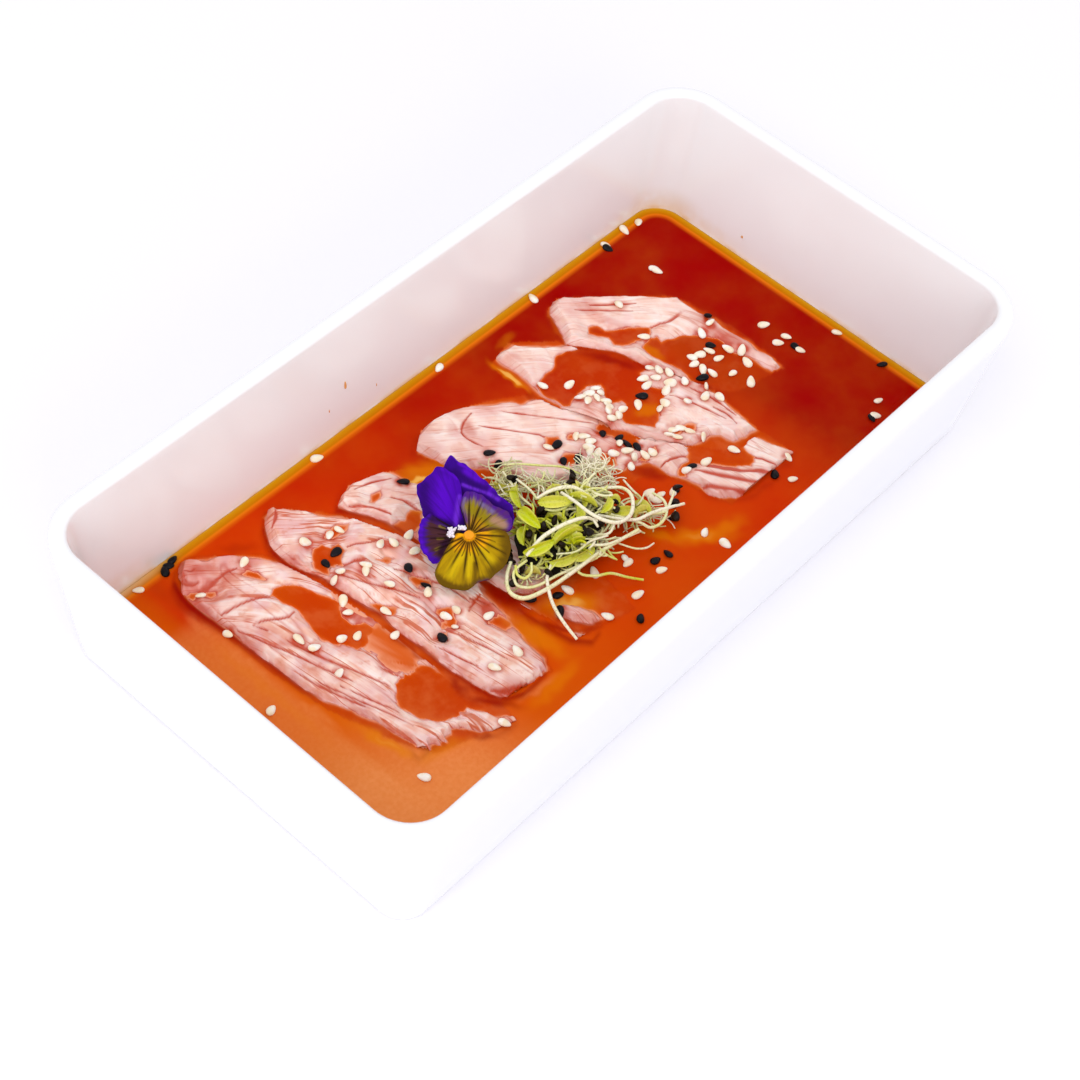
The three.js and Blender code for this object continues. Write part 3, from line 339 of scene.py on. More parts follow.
# Sesame seeds: x, y, spread, how many
WHITE_SEEDS = (
    (-93, 51.5, 0, 1), (-32, 51.5, 0, 1), (14, 51.5, 0, 1), (52, 51.5, 0, 1), (83, 51.5, 0, 1),
    (92, 51.5, 1, 1), (97, 51, 0, 1), (-83.5, 39.8, 0, 1), (-69, 39.8, 0, 1), (-54, 33.5, 0, 1),
    (-47.5, 31.5, 0, 1), (-44.5, 31, 0, 1), (-54.5, 21, 0, 1), (-57, 20.5, 0, 1), (-50, 16.5, 0, 1),
    (-48.5, 18, 0, 1), (-40.8, 20.3, 0, 1), (-38, 18.5, 0, 1), (-33, 17.8, 0, 1), (-76, 13.5, 0, 1),
    (-75, 9.2, 0, 1), (-59.6, 14.8, 0, 1), (-61.3, 11.5, 0, 1), (-48.5, 9.8, 0, 1), (-54.3, 5.3, 0, 1),
    (-67.8, 7, 0, 1), (-64.5, 5, 0, 1), (-94.5, 4, 0, 1), (-43.5, 1.5, 0, 1), (-76.3, -0.3, 0, 1),
    (-57.8, -1.2, 0, 1), (-44.8, -6, 0, 1), (-41.6, -6.3, 0, 1), (-45.6, -9.6, 0, 1),
    (-37.3, -13.4, 0, 1), (-48.6, -25.4, 0, 1), (-40.8, -25.8, 0, 1), (-82.3, -34, 0, 1),
    (-58, -37.3, 0, 1), (-16, -33.8, 0, 1), (-5.3, -34.8, 0, 1), (5, -34, 0, 1), (22.5, -34, 0, 1),
    (23.5, -40, 0, 1), (53.5, -39, 0, 1), (85, 36, 1.4, 2), (91.8, 1.2, 0.6, 2), (89.5, -6, 0.5, 1),
    (93.5, -6, 0.5, 1), (92, -12, 0, 1), (105, -15, 0, 1), (93, -38.3, 0, 1), (88, -41, 0, 1),
    (-86.6, 27, 0, 1), (-17, -21.5, 0, 1), (-8, -22.6, 0, 1), (1, -26, 0.8, 2), (-36.2, 13, 0, 1),
    (29.7, 28.3, 0, 1), (35.3, 23.5, 0, 1), (33.4, 18.2, 0, 1), (35.8, 17, 0.3, 1), (38.4, 15.4, 0.3, 1),
    (35.6, 14.4, 0.3, 1), (38.8, 17.4, 0.3, 1), (32.8, 15.4, 0.3, 1), (37.2, 12.8, 0.3, 1), (36.5, 10.8, 0, 1),
    (33.4, 6.9, 0, 1), (39.2, 7.8, 0, 1), (36.3, 7, 0.3, 1), (34.8, 9.4, 0.3, 1), (43.3, 6, 0, 1),
    (51.6, 11.3, 0, 1), (53.5, 8.6, 0, 1), (50.6, 8.9, 0, 1), (56.2, 12.4, 0.3, 1), (57.8, 7.4, 0, 1),
    (55.2, 4.8, 0, 1), (53, 4.4, 0.3, 1), (46.5, 1.1, 0, 1), (48.9, 1.4, 0, 1), (58.5, 2.4, 0, 1),
    (56.6, 9.7, 0.3, 1), (53.5, -2.9, 0, 1), (61.6, -2.7, 0, 1), (58.3, -5, 0, 1), (60.8, -8, 0, 1),
    (41.2, -6.8, 0, 1), (41.8, -9, 0, 1), (45.5, -7.2, 0, 1), (46.3, -9.7, 0, 1), (43.5, -6.2, 0, 1),
    (28.2, -5.4, 0, 1), (25.6, -6.4, 0, 1), (31.2, -6.5, 0, 1), (33.4, -7.2, 0, 1), (28.3, -2.8, 0, 1),
    (25.6, -0.8, 0.3, 1), (23.7, 5.8, 0.3, 1), (28.6, 0, 0.4, 1), (23.2, 9, 1.5, 2), (20, 3, 2.4, 3),
    (47, -13.6, 0, 1), (50, -21.8, 0, 1), (41, -18.5, 1, 1), (35, -16.5, 1, 1), (58.5, -33.5, 0, 1),
    (63.7, 21.1, 0, 1), (67.6, 7, 0, 1), (69.9, 6.2, 0, 1), (73, 5.3, 0, 1), (66, 5, 0, 1), (72.8, 1.7, 0, 1),
    (66.2, 2, 0, 1), (67.2, -0.5, 0, 1), (77.4, 2.2, 0, 1), (79.4, -1, 0, 1), (77.4, -4.6, 0, 1),
    (71.2, -4.4, 0, 1), (80.6, 11.3, 0, 1), (72.5, -9.8, 0, 1), (67, 33, 0, 1), (76.6, 10.6, 0.3, 1),
    (23.5, -17.5, 2.2, 4), (14, 13, 0.5, 1), (26.6, -20.4, 1, 1),
)
BLACK_SEEDS = (
    (-84.4, 51.4, 0.2, 1), (-82.6, 51.9, 0.2, 1), (-80.8, 52.6, 0.1, 1), (-54.5, 25.8, 0, 1), (-50.2, 26.6, 0, 1),
    (-21.8, 30.6, 0, 1), (-41.2, 10.2, 0, 1), (-41.6, 4, 0, 1), (-50.2, -9.6, 0, 1), (-26, -17, 0, 1),
    (-20, -21, 0, 1), (-24, -25, 0, 1), (-10.5, -40, 0, 1), (16.8, 11.8, 0, 1), (13.8, 6.8, 0, 1),
    (17.2, 4.6, 0, 1), (28.5, 5.9, 0, 1), (30.7, 2, 0, 1), (30.6, -0.8, 0, 1), (31.7, -3.5, 0, 1),
    (46.5, 7.4, 0, 1), (63.8, 0.3, 0, 1), (74.9, 6.3, 0, 1), (37.2, -17.6, 0, 1), (51.3, -34.6, 0, 1),
    (83, 49.8, 0.6, 1), (92, -10.3, 0, 1), (104.6, -31, 0, 1), (86.5, -40.8, 0, 1), (82.3, 13.4, 0, 1),
    (6.2, -31, 0, 1), (10.2, -31.8, 0, 1), (20.3, -25.4, 0, 1), (28.3, -19.6, 0, 1),
    (24.3, -22.2, 0, 1), (-1, 12.3, 0, 1), (0.5, 21.1, 0, 1), (-0.5, 17.2, 0, 1),
)

# Sprouts: the heap, and the stems that stand out, as girth, greenness and a route
HEAP = {"x": -4.5, "y": -9, "length": 19.5, "width": 12, "height": 7, "turn": 0.12}
LONG_STEMS = (
    (0.75, 0.3, ((6.5, -24, 14.3), (-4.4, -21.8, 13.8), (-14.6, -20.8, 13.2), (-23.6, -19.4, 12.4),
                  (-29.2, -17, 11.8), (-30, -13.4, 11.6), (-27.5, -10, 12.4), (-24, -8, 13.4))),
    (0.55, 0.45, ((-7, -22, 13), (-18, -18.6, 12.6), (-25, -16.6, 12.2), (-27.6, -13.6, 12.4),
                  (-26, -10.8, 13.6), (-21.5, -11, 14.6))),
    (0.5, 0.7, ((-21.5, -12.5, 15), (-23.5, -14.2, 14.4), (-25.6, -14, 13.8), (-26, -12, 13.8),
                 (-24.6, -10, 14.4))),
    (0.7, 0.0, ((-21.1, -10.4, 15.5), (-18, -10.4, 17.3), (-14.8, -10.6, 18.4), (-8.2, -12.3, 19.2),
                (-3.4, -14.2, 18.8), (-1, -16, 17))),
    (0.7, 0.05, ((-6, -0.5, 16.4), (-2.5, -2, 18), (2, -5, 18.2), (4.5, -9, 16))),
    (0.68, 0.08, ((-1, -4, 17.6), (-1.5, -9, 18.8), (-2, -14, 19.4), (-1, -18, 19.2), (1.5, -20.6, 18.4),
                  (5.5, -21, 17.6), (9, -19.5, 17), (12.4, -16, 16.4), (13, -12.6, 15.4),
                  (10, -8.5, 14))),
    (0.6, 0.02, ((-17, -15.5, 14), (-20.6, -17.2, 12.9), (-22.6, -19.4, 12.4), (-25.2, -23.2, 12),
                 (-27.3, -28.4, 11.8), (-28.2, -34, 10.6))),
    (0.5, 0.75, ((-10, -17, 13.6), (-13.5, -21.6, 12.3), (-11, -25, 11.9), (-7.5, -27, 11.7),
                 (-4.5, -30.2, 10.4), (-1.5, -33.2, 9.4))),
    (0.62, 0.02, ((2, -14, 15), (7.5, -21.8, 15.4), (13, -23, 14.6), (18, -24.4, 13.6),
                  (22.8, -26, 12.6))),
    (0.55, 0.35, ((5, -16, 14.6), (8.5, -23, 14.4), (9.6, -25.3, 13.6), (12.5, -26.2, 13.3),
                  (16.4, -25.2, 13.3), (19.4, -22, 13), (19.6, -18, 12.6))),
    (0.5, 0.3, ((24, -21.6, 12.6), (20.5, -23.3, 13), (16.5, -24.6, 13.6), (12, -22, 14))),
    (0.5, 0.1, ((7, -24.4, 13.6), (1.5, -23, 14.2), (-3.5, -21.4, 14.6), (-8, -17, 14.6))),
    (0.42, 0.6, ((-0.8, 15.6, 11.3), (2, 12.5, 12), (5.5, 8.5, 12.1), (9.5, 3.5, 12.4),
                 (10.5, -1.5, 13))),
    (0.42, 0.2, ((-3.5, 8.5, 14), (-4.5, 3, 15.2), (-6, -0.5, 16))),
    (0.45, 0.35, ((-3, 13.5, 12.2), (-5, 9, 13.3), (-7, 4.5, 14), (-8, -1, 15))),
    (0.4, 0.2, ((-1.5, -20.4, 15.6), (-6.5, -18.5, 15.8), (-11, -18, 15.2), (-15, -15, 15))),
    (0.4, 0.15, ((17.4, -10, 12.6), (16, -14.4, 13.2), (15.8, -18, 13))),
    (0.35, 0.25, ((8.6, -28, 10.6), (5.6, -28, 11.4), (3, -26.6, 12), (0, -22, 13))),
    (0.5, 0.05, ((-2, -15.4, 18.2), (-2.4, -17.6, 17.2))),
    (0.5, 0.05, ((2, -19.5, 17.2), (-0.4, -20, 15.4), (-3, -18, 14.6))),
    (0.35, 0.55, ((-14, -16, 14.8), (-18.5, -16.6, 13.8), (-21, -16.2, 13))),
)
# seed leaves: x, y, z, heading, pitch, roll, length, width, greenness
SEED_LEAVES = (
    (-17.5, -11.2, 16.6, -25, 12, 50, 8.5, 3.0, 0.95), (-10, -14, 17.4, -12, 4, -45, 9, 3.2, 0.8),
    (-8, 4, 15, 228, 12, 50, 9.5, 2.6, 0.9), (-12.5, -3.5, 16.8, 262, 4, 30, 8, 3.4, 1.0),
    (-4, -4.5, 17, -45, 6, 40, 8.5, 3.2, 0.55), (2, -9, 16.6, -70, 0, -50, 8, 3.0, 0.65),
    (5, -13.8, 16.6, 20, 8, 40, 5.5, 2.2, 0.7),
    (-14, -17, 14.6, -20, 0, 65, 8.5, 2.8, 0.7), (6, -6.5, 15, -60, 10, 40, 5.5, 2.2, 0.4),
    (-9, -19, 14, -8, -4, 60, 8, 2.6, 0.65), (0.5, -1.6, 14.6, -40, 5, -40, 6, 2.2, 0.45),
    (-16, -5.5, 15, 210, 0, 50, 6.5, 2.8, 0.9), (8.5, -17.5, 14.4, -40, 0, 40, 6, 2.6, 0.5),
    (10, -10.5, 13.4, -80, 4, 40, 5.5, 2.2, 0.35), (-3, -11, 17, 40, 0, 35, 7, 2.8, 0.8),
)
SEED_HULLS = (
    (6.4, -1.4, 15), (5.4, -2.2, 14.4), (-7.7, -3.2, 15.4), (-6.2, -3.6, 15.2), (-8.2, -8.3, 16.4),
    (-15.3, -6, 15.4), (-11.6, -7.5, 16), (-4.9, -17, 17), (-5.4, -15.6, 16.6), (6.8, -16.3, 15.4),
    (-23, -11.2, 12.5), (-27.4, -12.3, 12), (-25.6, -11.4, 12), (-19.6, -16.9, 13), (21, -24.5, 12.5),
    (18.5, -26.7, 12), (26, -21.4, 12.5), (-3.7, 10.1, 13.2), (-3.4, 8.9, 13), (0.5, -16.5, 15.6),
    (-12.4, -14.2, 15.6), (7.6, -0.6, 15), (8.8, -13.5, 14.6), (-0.8, -13.6, 15.6), (-15.2, -14.4, 13.6),
    # these last seven are dark hulls in the gap beside the flower's lip, standing in for the deep shade there as well
    (-21.5, -2.6, 12.2), (-22.4, -4.4, 12.2), (-24.4, -6.2, 12), (-23.2, -6.8, 12), (-20.8, -4, 12),
    (-21.8, -5.8, 11.6), (-22.8, -7.8, 12),
)
# parts of the heap: x, y, radius, low, high, how many, girth, greenness, tightest and widest curl
HEAP_ZONES = (
    (13, -3.5, 6.4, 10.8, 16.6, 130, 0.19, 0.0, 1.3, 4.5), (4.5, -8.5, 6, 12.5, 17.8, 48, 0.42, 0.35, 2, 6),
    (6.5, -14, 5, 11.5, 16.6, 26, 0.38, 0.35, 2, 6), (-4, -5, 5.5, 12.5, 16.8, 28, 0.44, 0.7, 2, 6),
    (-11.5, -3.5, 4.5, 11.2, 15.6, 28, 0.46, 1.0, 1.5, 4.5), (-8, -13.5, 6, 13, 17.6, 30, 0.44, 0.9, 2, 7),
    (-4, -19, 4.5, 12, 15.8, 22, 0.42, 0.4, 2.5, 8), (-17, -11, 5, 11.6, 15, 22, 0.42, 0.95, 1.5, 5),
    (-23, -13.5, 3.6, 11, 12.4, 10, 0.3, 0.5, 1.5, 3.5), (14, -21, 5, 10.8, 12.8, 12, 0.2, 0.25, 2.5, 6),
    (-4.5, 8.5, 6, 10.6, 13.2, 34, 0.24, 0.25, 3, 9), (-8.5, 7.5, 5, 10.6, 14, 50, 0.26, 0.35, 2.5, 8),
    (-2, 14.5, 4, 10.4, 12.2, 16, 0.24, 0.3, 3, 9), (-12.5, -18, 4, 11.2, 13.6, 14, 0.3, 0.6, 2, 5),
    (1, 3, 5, 11, 15, 40, 0.26, 0.3, 2, 7), (12, -18.5, 4, 11, 13.6, 12, 0.34, 0.4, 2, 6),
)
FILLER_SEED = 11
EXTRA_LEAVES = {"count": 26, "random": 37}
# boxes in the flower's own frame that stay free of sprouts
VIOLA_ROOMS = (((-17, -5, -6.2), (12, 25, 6)), ((-12, -13, -0.4), (11.4, -5, 6)))
# past its slanting upper edge the flower leaves room: shares of across and up, and their sum there
VIOLA_SLANT = (0.652, 0.758, 12.6)

# Viola: petals are fans from the throat to a rim, in the flower's own frame
VIOLA = {"eye": (-29.6, 1.4, 17), "tilt": 25, "facing": 216.8}
THROAT = (-0.2, 2.0)
PETAL_THICKNESS = 0.5
EYE_RADIUS = 1.3
EYE_HEIGHT = 1.2
EYE_PLACE = (-0.2, 1.9)
TUFTS = ((-4.6, 2.1, 0.75, 1.15, 60), (-2.1, 3.6, 0.85, 0.4, 34))
# rims run counterclockwise, veins are angle and reach, and strokes are half width and line
# light strokes lighten a petal, partly as painted highlights on the ridges of its folds and partly as its lighter
# colour; dark strokes darken it, partly as painted shade in its folds and partly as its darker colour
PETALS = {
    "viola_petal_upper_left": {
        "rim": ((-3.3, 11.5), (-3.6, 14.2), (-4.6, 16.4), (-6.2, 17.7), (-8, 18.7), (-9.6, 18.9),
                (-11.2, 17.7), (-13, 15.7), (-14.3, 13.7), (-14.6, 12), (-13.9, 10.2), (-12.7, 8),
                (-12.2, 6.2), (-10.7, 4.4)),
        "layer": -2.1, "ruffle": 0.3, "cup": 0.3, "margin": 0.8, "veins": (),
        "light": ((2.6, ((-7, 8), (-7.6, 11), (-8, 15))), (0.5, ((-5, 16.6), (-8, 18.1), (-9.6, 18.3)))),
        "pale": ((0.8, ((-3.9, 5), (-3.9, 8), (-3.7, 12))),),
        "dark": ((1.9, ((-13, 13.5), (-12.4, 9.5), (-10.6, 6))), (1.0, ((-5, 4.6), (-8.6, 5.4), (-11, 6.4)))),
    },
    "viola_petal_upper_right": {
        "rim": ((9.6, 5.2), (10.4, 7.2), (10.3, 9.6), (9.5, 11.6), (8, 13), (6.3, 14), (4.7, 15.1),
                (2.7, 16.8), (0.7, 18.3), (-1.3, 19.5), (-3.3, 20.7), (-5.3, 21.6), (-7.5, 22.6),
                (-8.2, 20.6), (-9.4, 18.2)),
        "layer": -3.6, "ruffle": 0.2, "cup": 0.4, "margin": 0.6, "veins": (),
        "light": ((1.1, ((-3, 19), (-0.6, 17.7), (1.6, 16.2), (3, 15))),
                  (0.5, ((-5, 20.8), (-2, 19.6), (0.5, 18)))),
        "pale": ((0.55, ((-3.4, 15.6), (0, 14.9), (3, 14.2), (6, 12.9))),),
        "dark": ((1.0, ((-6, 18.8), (-3.4, 17.4), (-1, 16.3), (2.4, 15.4))),
                 (1.0, ((-3, 13.2), (1, 12.9), (5, 11.4), (8.4, 9.8))), (0.9, ((9.6, 10), (9.6, 8), (9.2, 6)))),
    },
    "viola_petal_side_left": {
        "rim": ((-10.6, 6.6), (-12, 5), (-12.7, 3.3), (-12.6, 1.3), (-12.3, -0.8), (-11.4, -2.7),
                (-10.1, -4.3), (-8.7, -5.5), (-7.4, -5.9), (-6.3, -4.9)),
        "layer": -0.6, "ruffle": 0.2, "cup": -0.3, "margin": 1.9,
        "veins": ((158, 8.4), (166, 6.6), (174, 9.4), (183, 7), (191, 8.8), (201, 7), (210, 8.4)),
        "light": ((0.6, ((-12.2, 3), (-11.8, -0.6), (-10, -3.6))),),
        "pale": ((0.5, ((-6.4, 3.3), (-7.6, 3.6))), (0.4, ((-6.4, 0.6), (-7.8, 0.4))),
                 (0.5, ((-6.6, -1.6), (-7.8, -2.4)))),
        "dark": ((1.3, ((-4.6, 4.4), (-7, 5), (-9.6, 5.6))), (1.0, ((-4.2, 1), (-6, -0.6), (-6.6, -3)))),
    },
    "viola_petal_side_right": {
        "rim": ((8, 4), (9.5, 4.9), (10.1, 6.6), (9.7, 8.3), (8.4, 9.5), (6.5, 10.3), (4.4, 11.2),
                (2.6, 12.3), (1, 13.2), (-1, 13.5), (-2.5, 13.1), (-3.2, 11.6), (-3.3, 9)),
        "layer": -0.7, "ruffle": 0.2, "cup": -0.2, "margin": 2.6,
        "veins": ((38, 5), (52, 7), (64, 5), (77, 9), (86, 5), (96, 10), (113, 8.6)),
        "light": ((1.3, ((5.4, 7), (6.6, 6.6), (8, 6))),),
        "pale": ((0.4, ((-2.6, 8), (-2.7, 10), (-2.4, 11.6))), (0.7, ((1.6, 10.6), (3.4, 10), (5, 9)))),
        "dark": ((0.8, ((2.6, 3.8), (5, 4.3), (8.4, 4.5))),),
    },
    "viola_petal_lip": {
        "rim": ((-3.4, 2.2), (-4.2, 0.6), (-5, -1.4), (-6, -4), (-6.9, -6.3), (-7.3, -8.8), (-6.3, -10.5),
                (-4, -11.6), (-1.3, -12.1), (1, -11.8), (2.4, -10.8), (3, -9.7), (4.4, -9.2),
                (6.2, -8.5), (7.5, -7), (9, -5), (10.1, -2.5), (10.5, -0.4), (10.3, 1.6), (9.5, 3.4),
                (8, 4.2), (6, 4.4)),
        "layer": 0.9, "ruffle": 0.3, "cup": -0.5, "margin": 1.5,
        "veins": ((212, 8), (226, 10.4), (238, 5), (248, 12), (259, 5), (270, 11.6), (281, 4.6), (291, 11.4),
                  (302, 5), (312, 10.4), (326, 6), (340, 9.6), (353, 6), (6, 8)),
        "light": ((1.4, ((-1, -3), (-2.6, -6), (-3.4, -8.6))), (1.3, ((2.6, -1.4), (5, -3), (6.4, -4))),
                  (1.0, ((0.8, -3), (0.8, -8)))),
        "pale": ((0.8, ((3.2, -9.8), (4.6, -9.6), (5.8, -8.8))),),
        "dark": ((2.0, ((8.4, 3), (9.6, -0.6), (8.6, -4), (6.4, -6.6))), (0.7, ((2.2, -5), (2.8, -9.6))),
                 (0.9, ((-6.8, -9.6), (-3, -11.4), (0.6, -11.6)))),
    },
}

# Drops of sauce on the dish's inner wall: x, y, z, size across and down
WALL_DROPS = ((-18.9, 55.1, 23.6, 1.1, 2.8), (-7.5, 54.5, 15.6, 0.5, 1.3), (-24.8, 54.7, 18.4, 0.5, 1.2),
              (109, 23.6, 14.6, 0.8, 1.0))

# Camera, fitted to the dish's edges
CAMERA = {
    "target": (-0.01062, -0.00652, 0.009), "distance": 0.57292, "azimuth": 34.023,
    "elevation": 51.322, "roll": 9.640, "lens": 75.583,
}


# Numbers

def smoothstep(low, high, value):
    share = np.clip((value - low) / (high - low), 0, 1)
    return share * share * (3 - 2 * share)


def lattice(x, y, seed):
    """A repeatable value from -1 to 1 for each whole-number place."""
    mixed = np.sin(x * 127.1 + y * 311.7 + seed * 74.7) * 43758.5453
    return 2 * (mixed - np.floor(mixed)) - 1


def soft_noise(x, y, seed=0):
    """Smooth random hills of about one unit across, from -1 to 1."""
    left, low = np.floor(x), np.floor(y)
    across, up = smoothstep(0, 1, x - left), smoothstep(0, 1, y - low)
    bottom = lattice(left, low, seed) * (1 - across) + lattice(left + 1, low, seed) * across
    top = lattice(left, low + 1, seed) * (1 - across) + lattice(left + 1, low + 1, seed) * across
    return bottom * (1 - up) + top * up


def curve_through(control, shares):
    """Points on a smooth curve through the control points, at shares of the way along."""
    points = np.array(control, float)
    points = np.vstack([2 * points[0] - points[1], points, 2 * points[-1] - points[-2]])
    spans = len(control) - 1
    places = []
    for share in shares:
        index = min(int(share * spans), spans - 1)
        t = share * spans - index
        p0, p1, p2, p3 = points[index:index + 4]
        d0, d1, d2 = (np.linalg.norm(b - a) ** 0.5 for a, b in ((p0, p1), (p1, p2), (p2, p3)))
        m1 = ((p1 - p0) / d0 - (p2 - p0) / (d0 + d1) + (p2 - p1) / d1) * d1
        m2 = ((p2 - p1) / d1 - (p3 - p1) / (d1 + d2) + (p3 - p2) / d2) * d1
        bend = (3 * (p2 - p1) - 2 * m1 - m2) * t * t + (2 * (p1 - p2) + m1 + m2) * t ** 3
        places.append(p1 + m1 * t + bend)
    return np.array(places)


def line_distance(line, x, y, closed=False):
    """How far each place is from a line of points."""
    ends = np.roll(line, -1, axis=0) if closed else line[1:]
    nearest = np.full(np.shape(x), np.inf)
    for (ax, ay), (bx, by) in zip(line, ends):
        ex, ey = bx - ax, by - ay
        share = np.clip(((x - ax) * ex + (y - ay) * ey) / (ex * ex + ey * ey), 0, 1)
        nearest = np.minimum(nearest, np.hypot(x - ax - share * ex, y - ay - share * ey))
    return nearest


def inside_distance(outline, x, y):
    """How far each place lies inside an outline, negative outside it."""
    inside = np.zeros(np.shape(x), bool)
    for (ax, ay), (bx, by) in zip(outline, np.roll(outline, -1, axis=0)):
        if ay != by:
            inside ^= ((ay > y) != (by > y)) & (x < ax + (y - ay) * (bx - ax) / (by - ay))
    distance = line_distance(outline, x, y, closed=True)
    return np.where(inside, distance, -distance)


def colour(red, green, blue):
    """A screen colour from 0 to 255 as the light that a shader reads."""
    return tuple((value / 255) ** 2.2 for value in (red, green, blue)) + (1.0,)


# Meshes

def make_piece(name, points, faces, finish, attributes=None, uv=None):
    """A smooth mesh object from points in millimetres, with values and a map for each point."""
    mesh = bpy.data.meshes.new(name)
    mesh.from_pydata((np.asarray(points, float) * MM).tolist(), [], faces)
    for key, values in (attributes or {}).items():
        layer = mesh.attributes.new(key, "FLOAT", "POINT")
        layer.data.foreach_set("value", np.asarray(values, float).ravel())
    if uv is not None:
        corners = np.empty(len(mesh.loops), int)
        mesh.loops.foreach_get("vertex_index", corners)
        mesh.uv_layers.new(name="UVMap").data.foreach_set("uv", np.asarray(uv)[corners].ravel())
    mesh.materials.append(finish)
    mesh.validate()
    mesh.shade_smooth()
    piece = bpy.data.objects.new(name, mesh)
    bpy.context.scene.collection.objects.link(piece)
    return piece


def settle(piece, slot, *nodes):
    """Hangs a finished piece on the root body and hides the parts it stands for; its slot is not used."""
    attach(piece, "root")
    if nodes:
        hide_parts(*nodes)


def ring_faces(rings, count, first=0):
    """Faces between rings of points, each ring count points long."""
    faces = []
    for ring in range(rings - 1):
        for i in range(count):
            a, b = first + ring * count + i, first + ring * count + (i + 1) % count
            faces.append((a, b, b + count, a + count))
    return faces


def sheet_faces(rows, columns):
    """Faces of a closed sheet whose top grid is followed by a bottom grid."""
    under = rows * columns
    faces = []
    for i in range(rows - 1):
        for j in range(columns - 1):
            a = i * columns + j
            faces.append((a, a + 1, a + columns + 1, a + columns))
            faces.append((under + a, under + a + columns, under + a + columns + 1, under + a + 1))
    rim = list(range(columns - 1))
    rim += [i * columns + columns - 1 for i in range(rows - 1)]
    rim += [(rows - 1) * columns + j for j in range(columns - 1, 0, -1)]
    rim += [i * columns for i in range(rows - 1, 0, -1)]
    for a, b in zip(rim, rim[1:] + rim[:1]):
        faces.append((a, under + a, under + b, b))
    return faces


def rounded_ring(outline, z, steps=14):
    """A rounded rectangle at one height."""
    length, width, radius = outline
    ring = []
    for side_x, side_y, start in ((1, 1, 0), (-1, 1, 90), (-1, -1, 180), (1, -1, 270)):
        for step in range(steps + 1):
            angle = math.radians(start + 90 * step / steps)
            x = side_x * (length - radius) + radius * math.cos(angle)
            y = side_y * (width - radius) + radius * math.sin(angle)
            ring.append((x, y, z))
    return ring


def grow(outline, amount):
    length, width, radius = outline
    return (length + amount, width + amount, max(radius + amount, 0.5))


def fillet_outline(z):
    """The dish's inside at a height in the fillet between its floor and its wall."""
    cosine = min(max(1 - (z - FLOOR_TOP) / FILLET, 0), 1)
    return grow(WALL_FOOT, FILLET * (math.sqrt(1 - cosine * cosine) - 1))


# Fish shapes

def slice_outline(cut):
    shares = np.linspace(0, 1, EDGE_SAMPLES + 1)
    left, right = curve_through(cut["left"], shares), curve_through(cut["right"], shares)
    return np.vstack([left, right[::-1]])


OUTLINES = [slice_outline(cut) for cut in SLICES]


def left_edge_x(index, y):
    left = OUTLINES[index][:EDGE_SAMPLES + 1]
    return np.interp(y, left[::-1, 1], left[::-1, 0])


def land_distance(index, x, y):
    """How far each place lies inside the part of a slice that stands out of the sauce."""
    lands = (SLICES[index]["land"], *SLICES[index].get("lobes", ()))
    return np.max([inside_distance(np.array(land, float), x, y) for land in lands], axis=0)


def thickness_at(index, x, y):
    inside = inside_distance(OUTLINES[index], x, y)
    return SLICE_EDGE + (SLICE_THICKNESS - SLICE_EDGE) * smoothstep(0, SLICE_TAPER, inside)


def shown_top(index, x, y):
    """A slice's top before its neighbours press on it."""
    cut = SLICES[index]
    across = (x - left_edge_x(index, y)) / cut["reach"]
    tip = cut["left"][0]
    from_tip = np.hypot(x - tip[0], y - tip[1])
    z = LEVEL + cut["rise"] - cut["fall"] * smoothstep(0.1, 1, across)
    z = z + cut["curl"] * (1 - smoothstep(0, CURL_REACH, from_tip))
    z = z + 0.22 * np.sin(y / 4.3 + cut["reach"]) * np.cos(x / 7.1)
    wander_x = 0.3 * soft_noise(x / 1.9, y / 3.1, 3) + 0.16 * soft_noise(x / 0.7, y / 1.3, 5)
    fringe = 0.8 * soft_noise(x / 0.85, y / 6, 6) + 0.6 * soft_noise(x / 2.4, y / 9, 7)
    fringe = fringe * cut["grain"] * (1 - 0.85 * smoothstep(12, 32, y))
    wander_y = 0.35 * soft_noise(x / 2.1, y / 2.3, 4) + fringe
    x, y = x + wander_x, y + wander_y
    beds = [(inside_distance(np.array(shore, float), x, y), depth, POOL_SLOPE, 1.5)
            for depth, shore in cut["pools"]]
    beds.append((-land_distance(index, x, y), cut["sink"], SHORE_SLOPE, 2.1))
    for wet, depth, slope, shelf in beds:
        z = np.minimum(z, LEVEL + slope * np.maximum(-wet, 0) - depth * smoothstep(0, shelf, wet))
    return z


def top_of(index, x, y):
    """A slice's top where the slices above press it down."""
    z = shown_top(index, x, y)
    for upper in range(index + 1, min(index + 3, len(SLICES))):
        near = inside_distance(OUTLINES[upper], x, y) > -OVERLAP_MARGIN
        if near.any():
            room = top_of(upper, x[near], y[near]) - thickness_at(upper, x[near], y[near])
            z[near] = np.minimum(z[near], room - SLICE_GAP)
    return np.maximum(z, FLOOR_TOP + SLICE_THINNEST + 0.3)


def bottom_of(index, x, y, top):
    """A slice's underside, held up by the dish's floor and by the slice below."""
    support = np.full(x.shape, FLOOR_TOP + 0.3)
    if index > 0:
        rests = inside_distance(OUTLINES[index - 1], x, y) > -OVERLAP_MARGIN
        if rests.any():
            support[rests] = top_of(index - 1, x[rests], y[rests]) + 0.15
    return np.minimum(np.maximum(support, top - thickness_at(index, x, y)), top - 0.3)


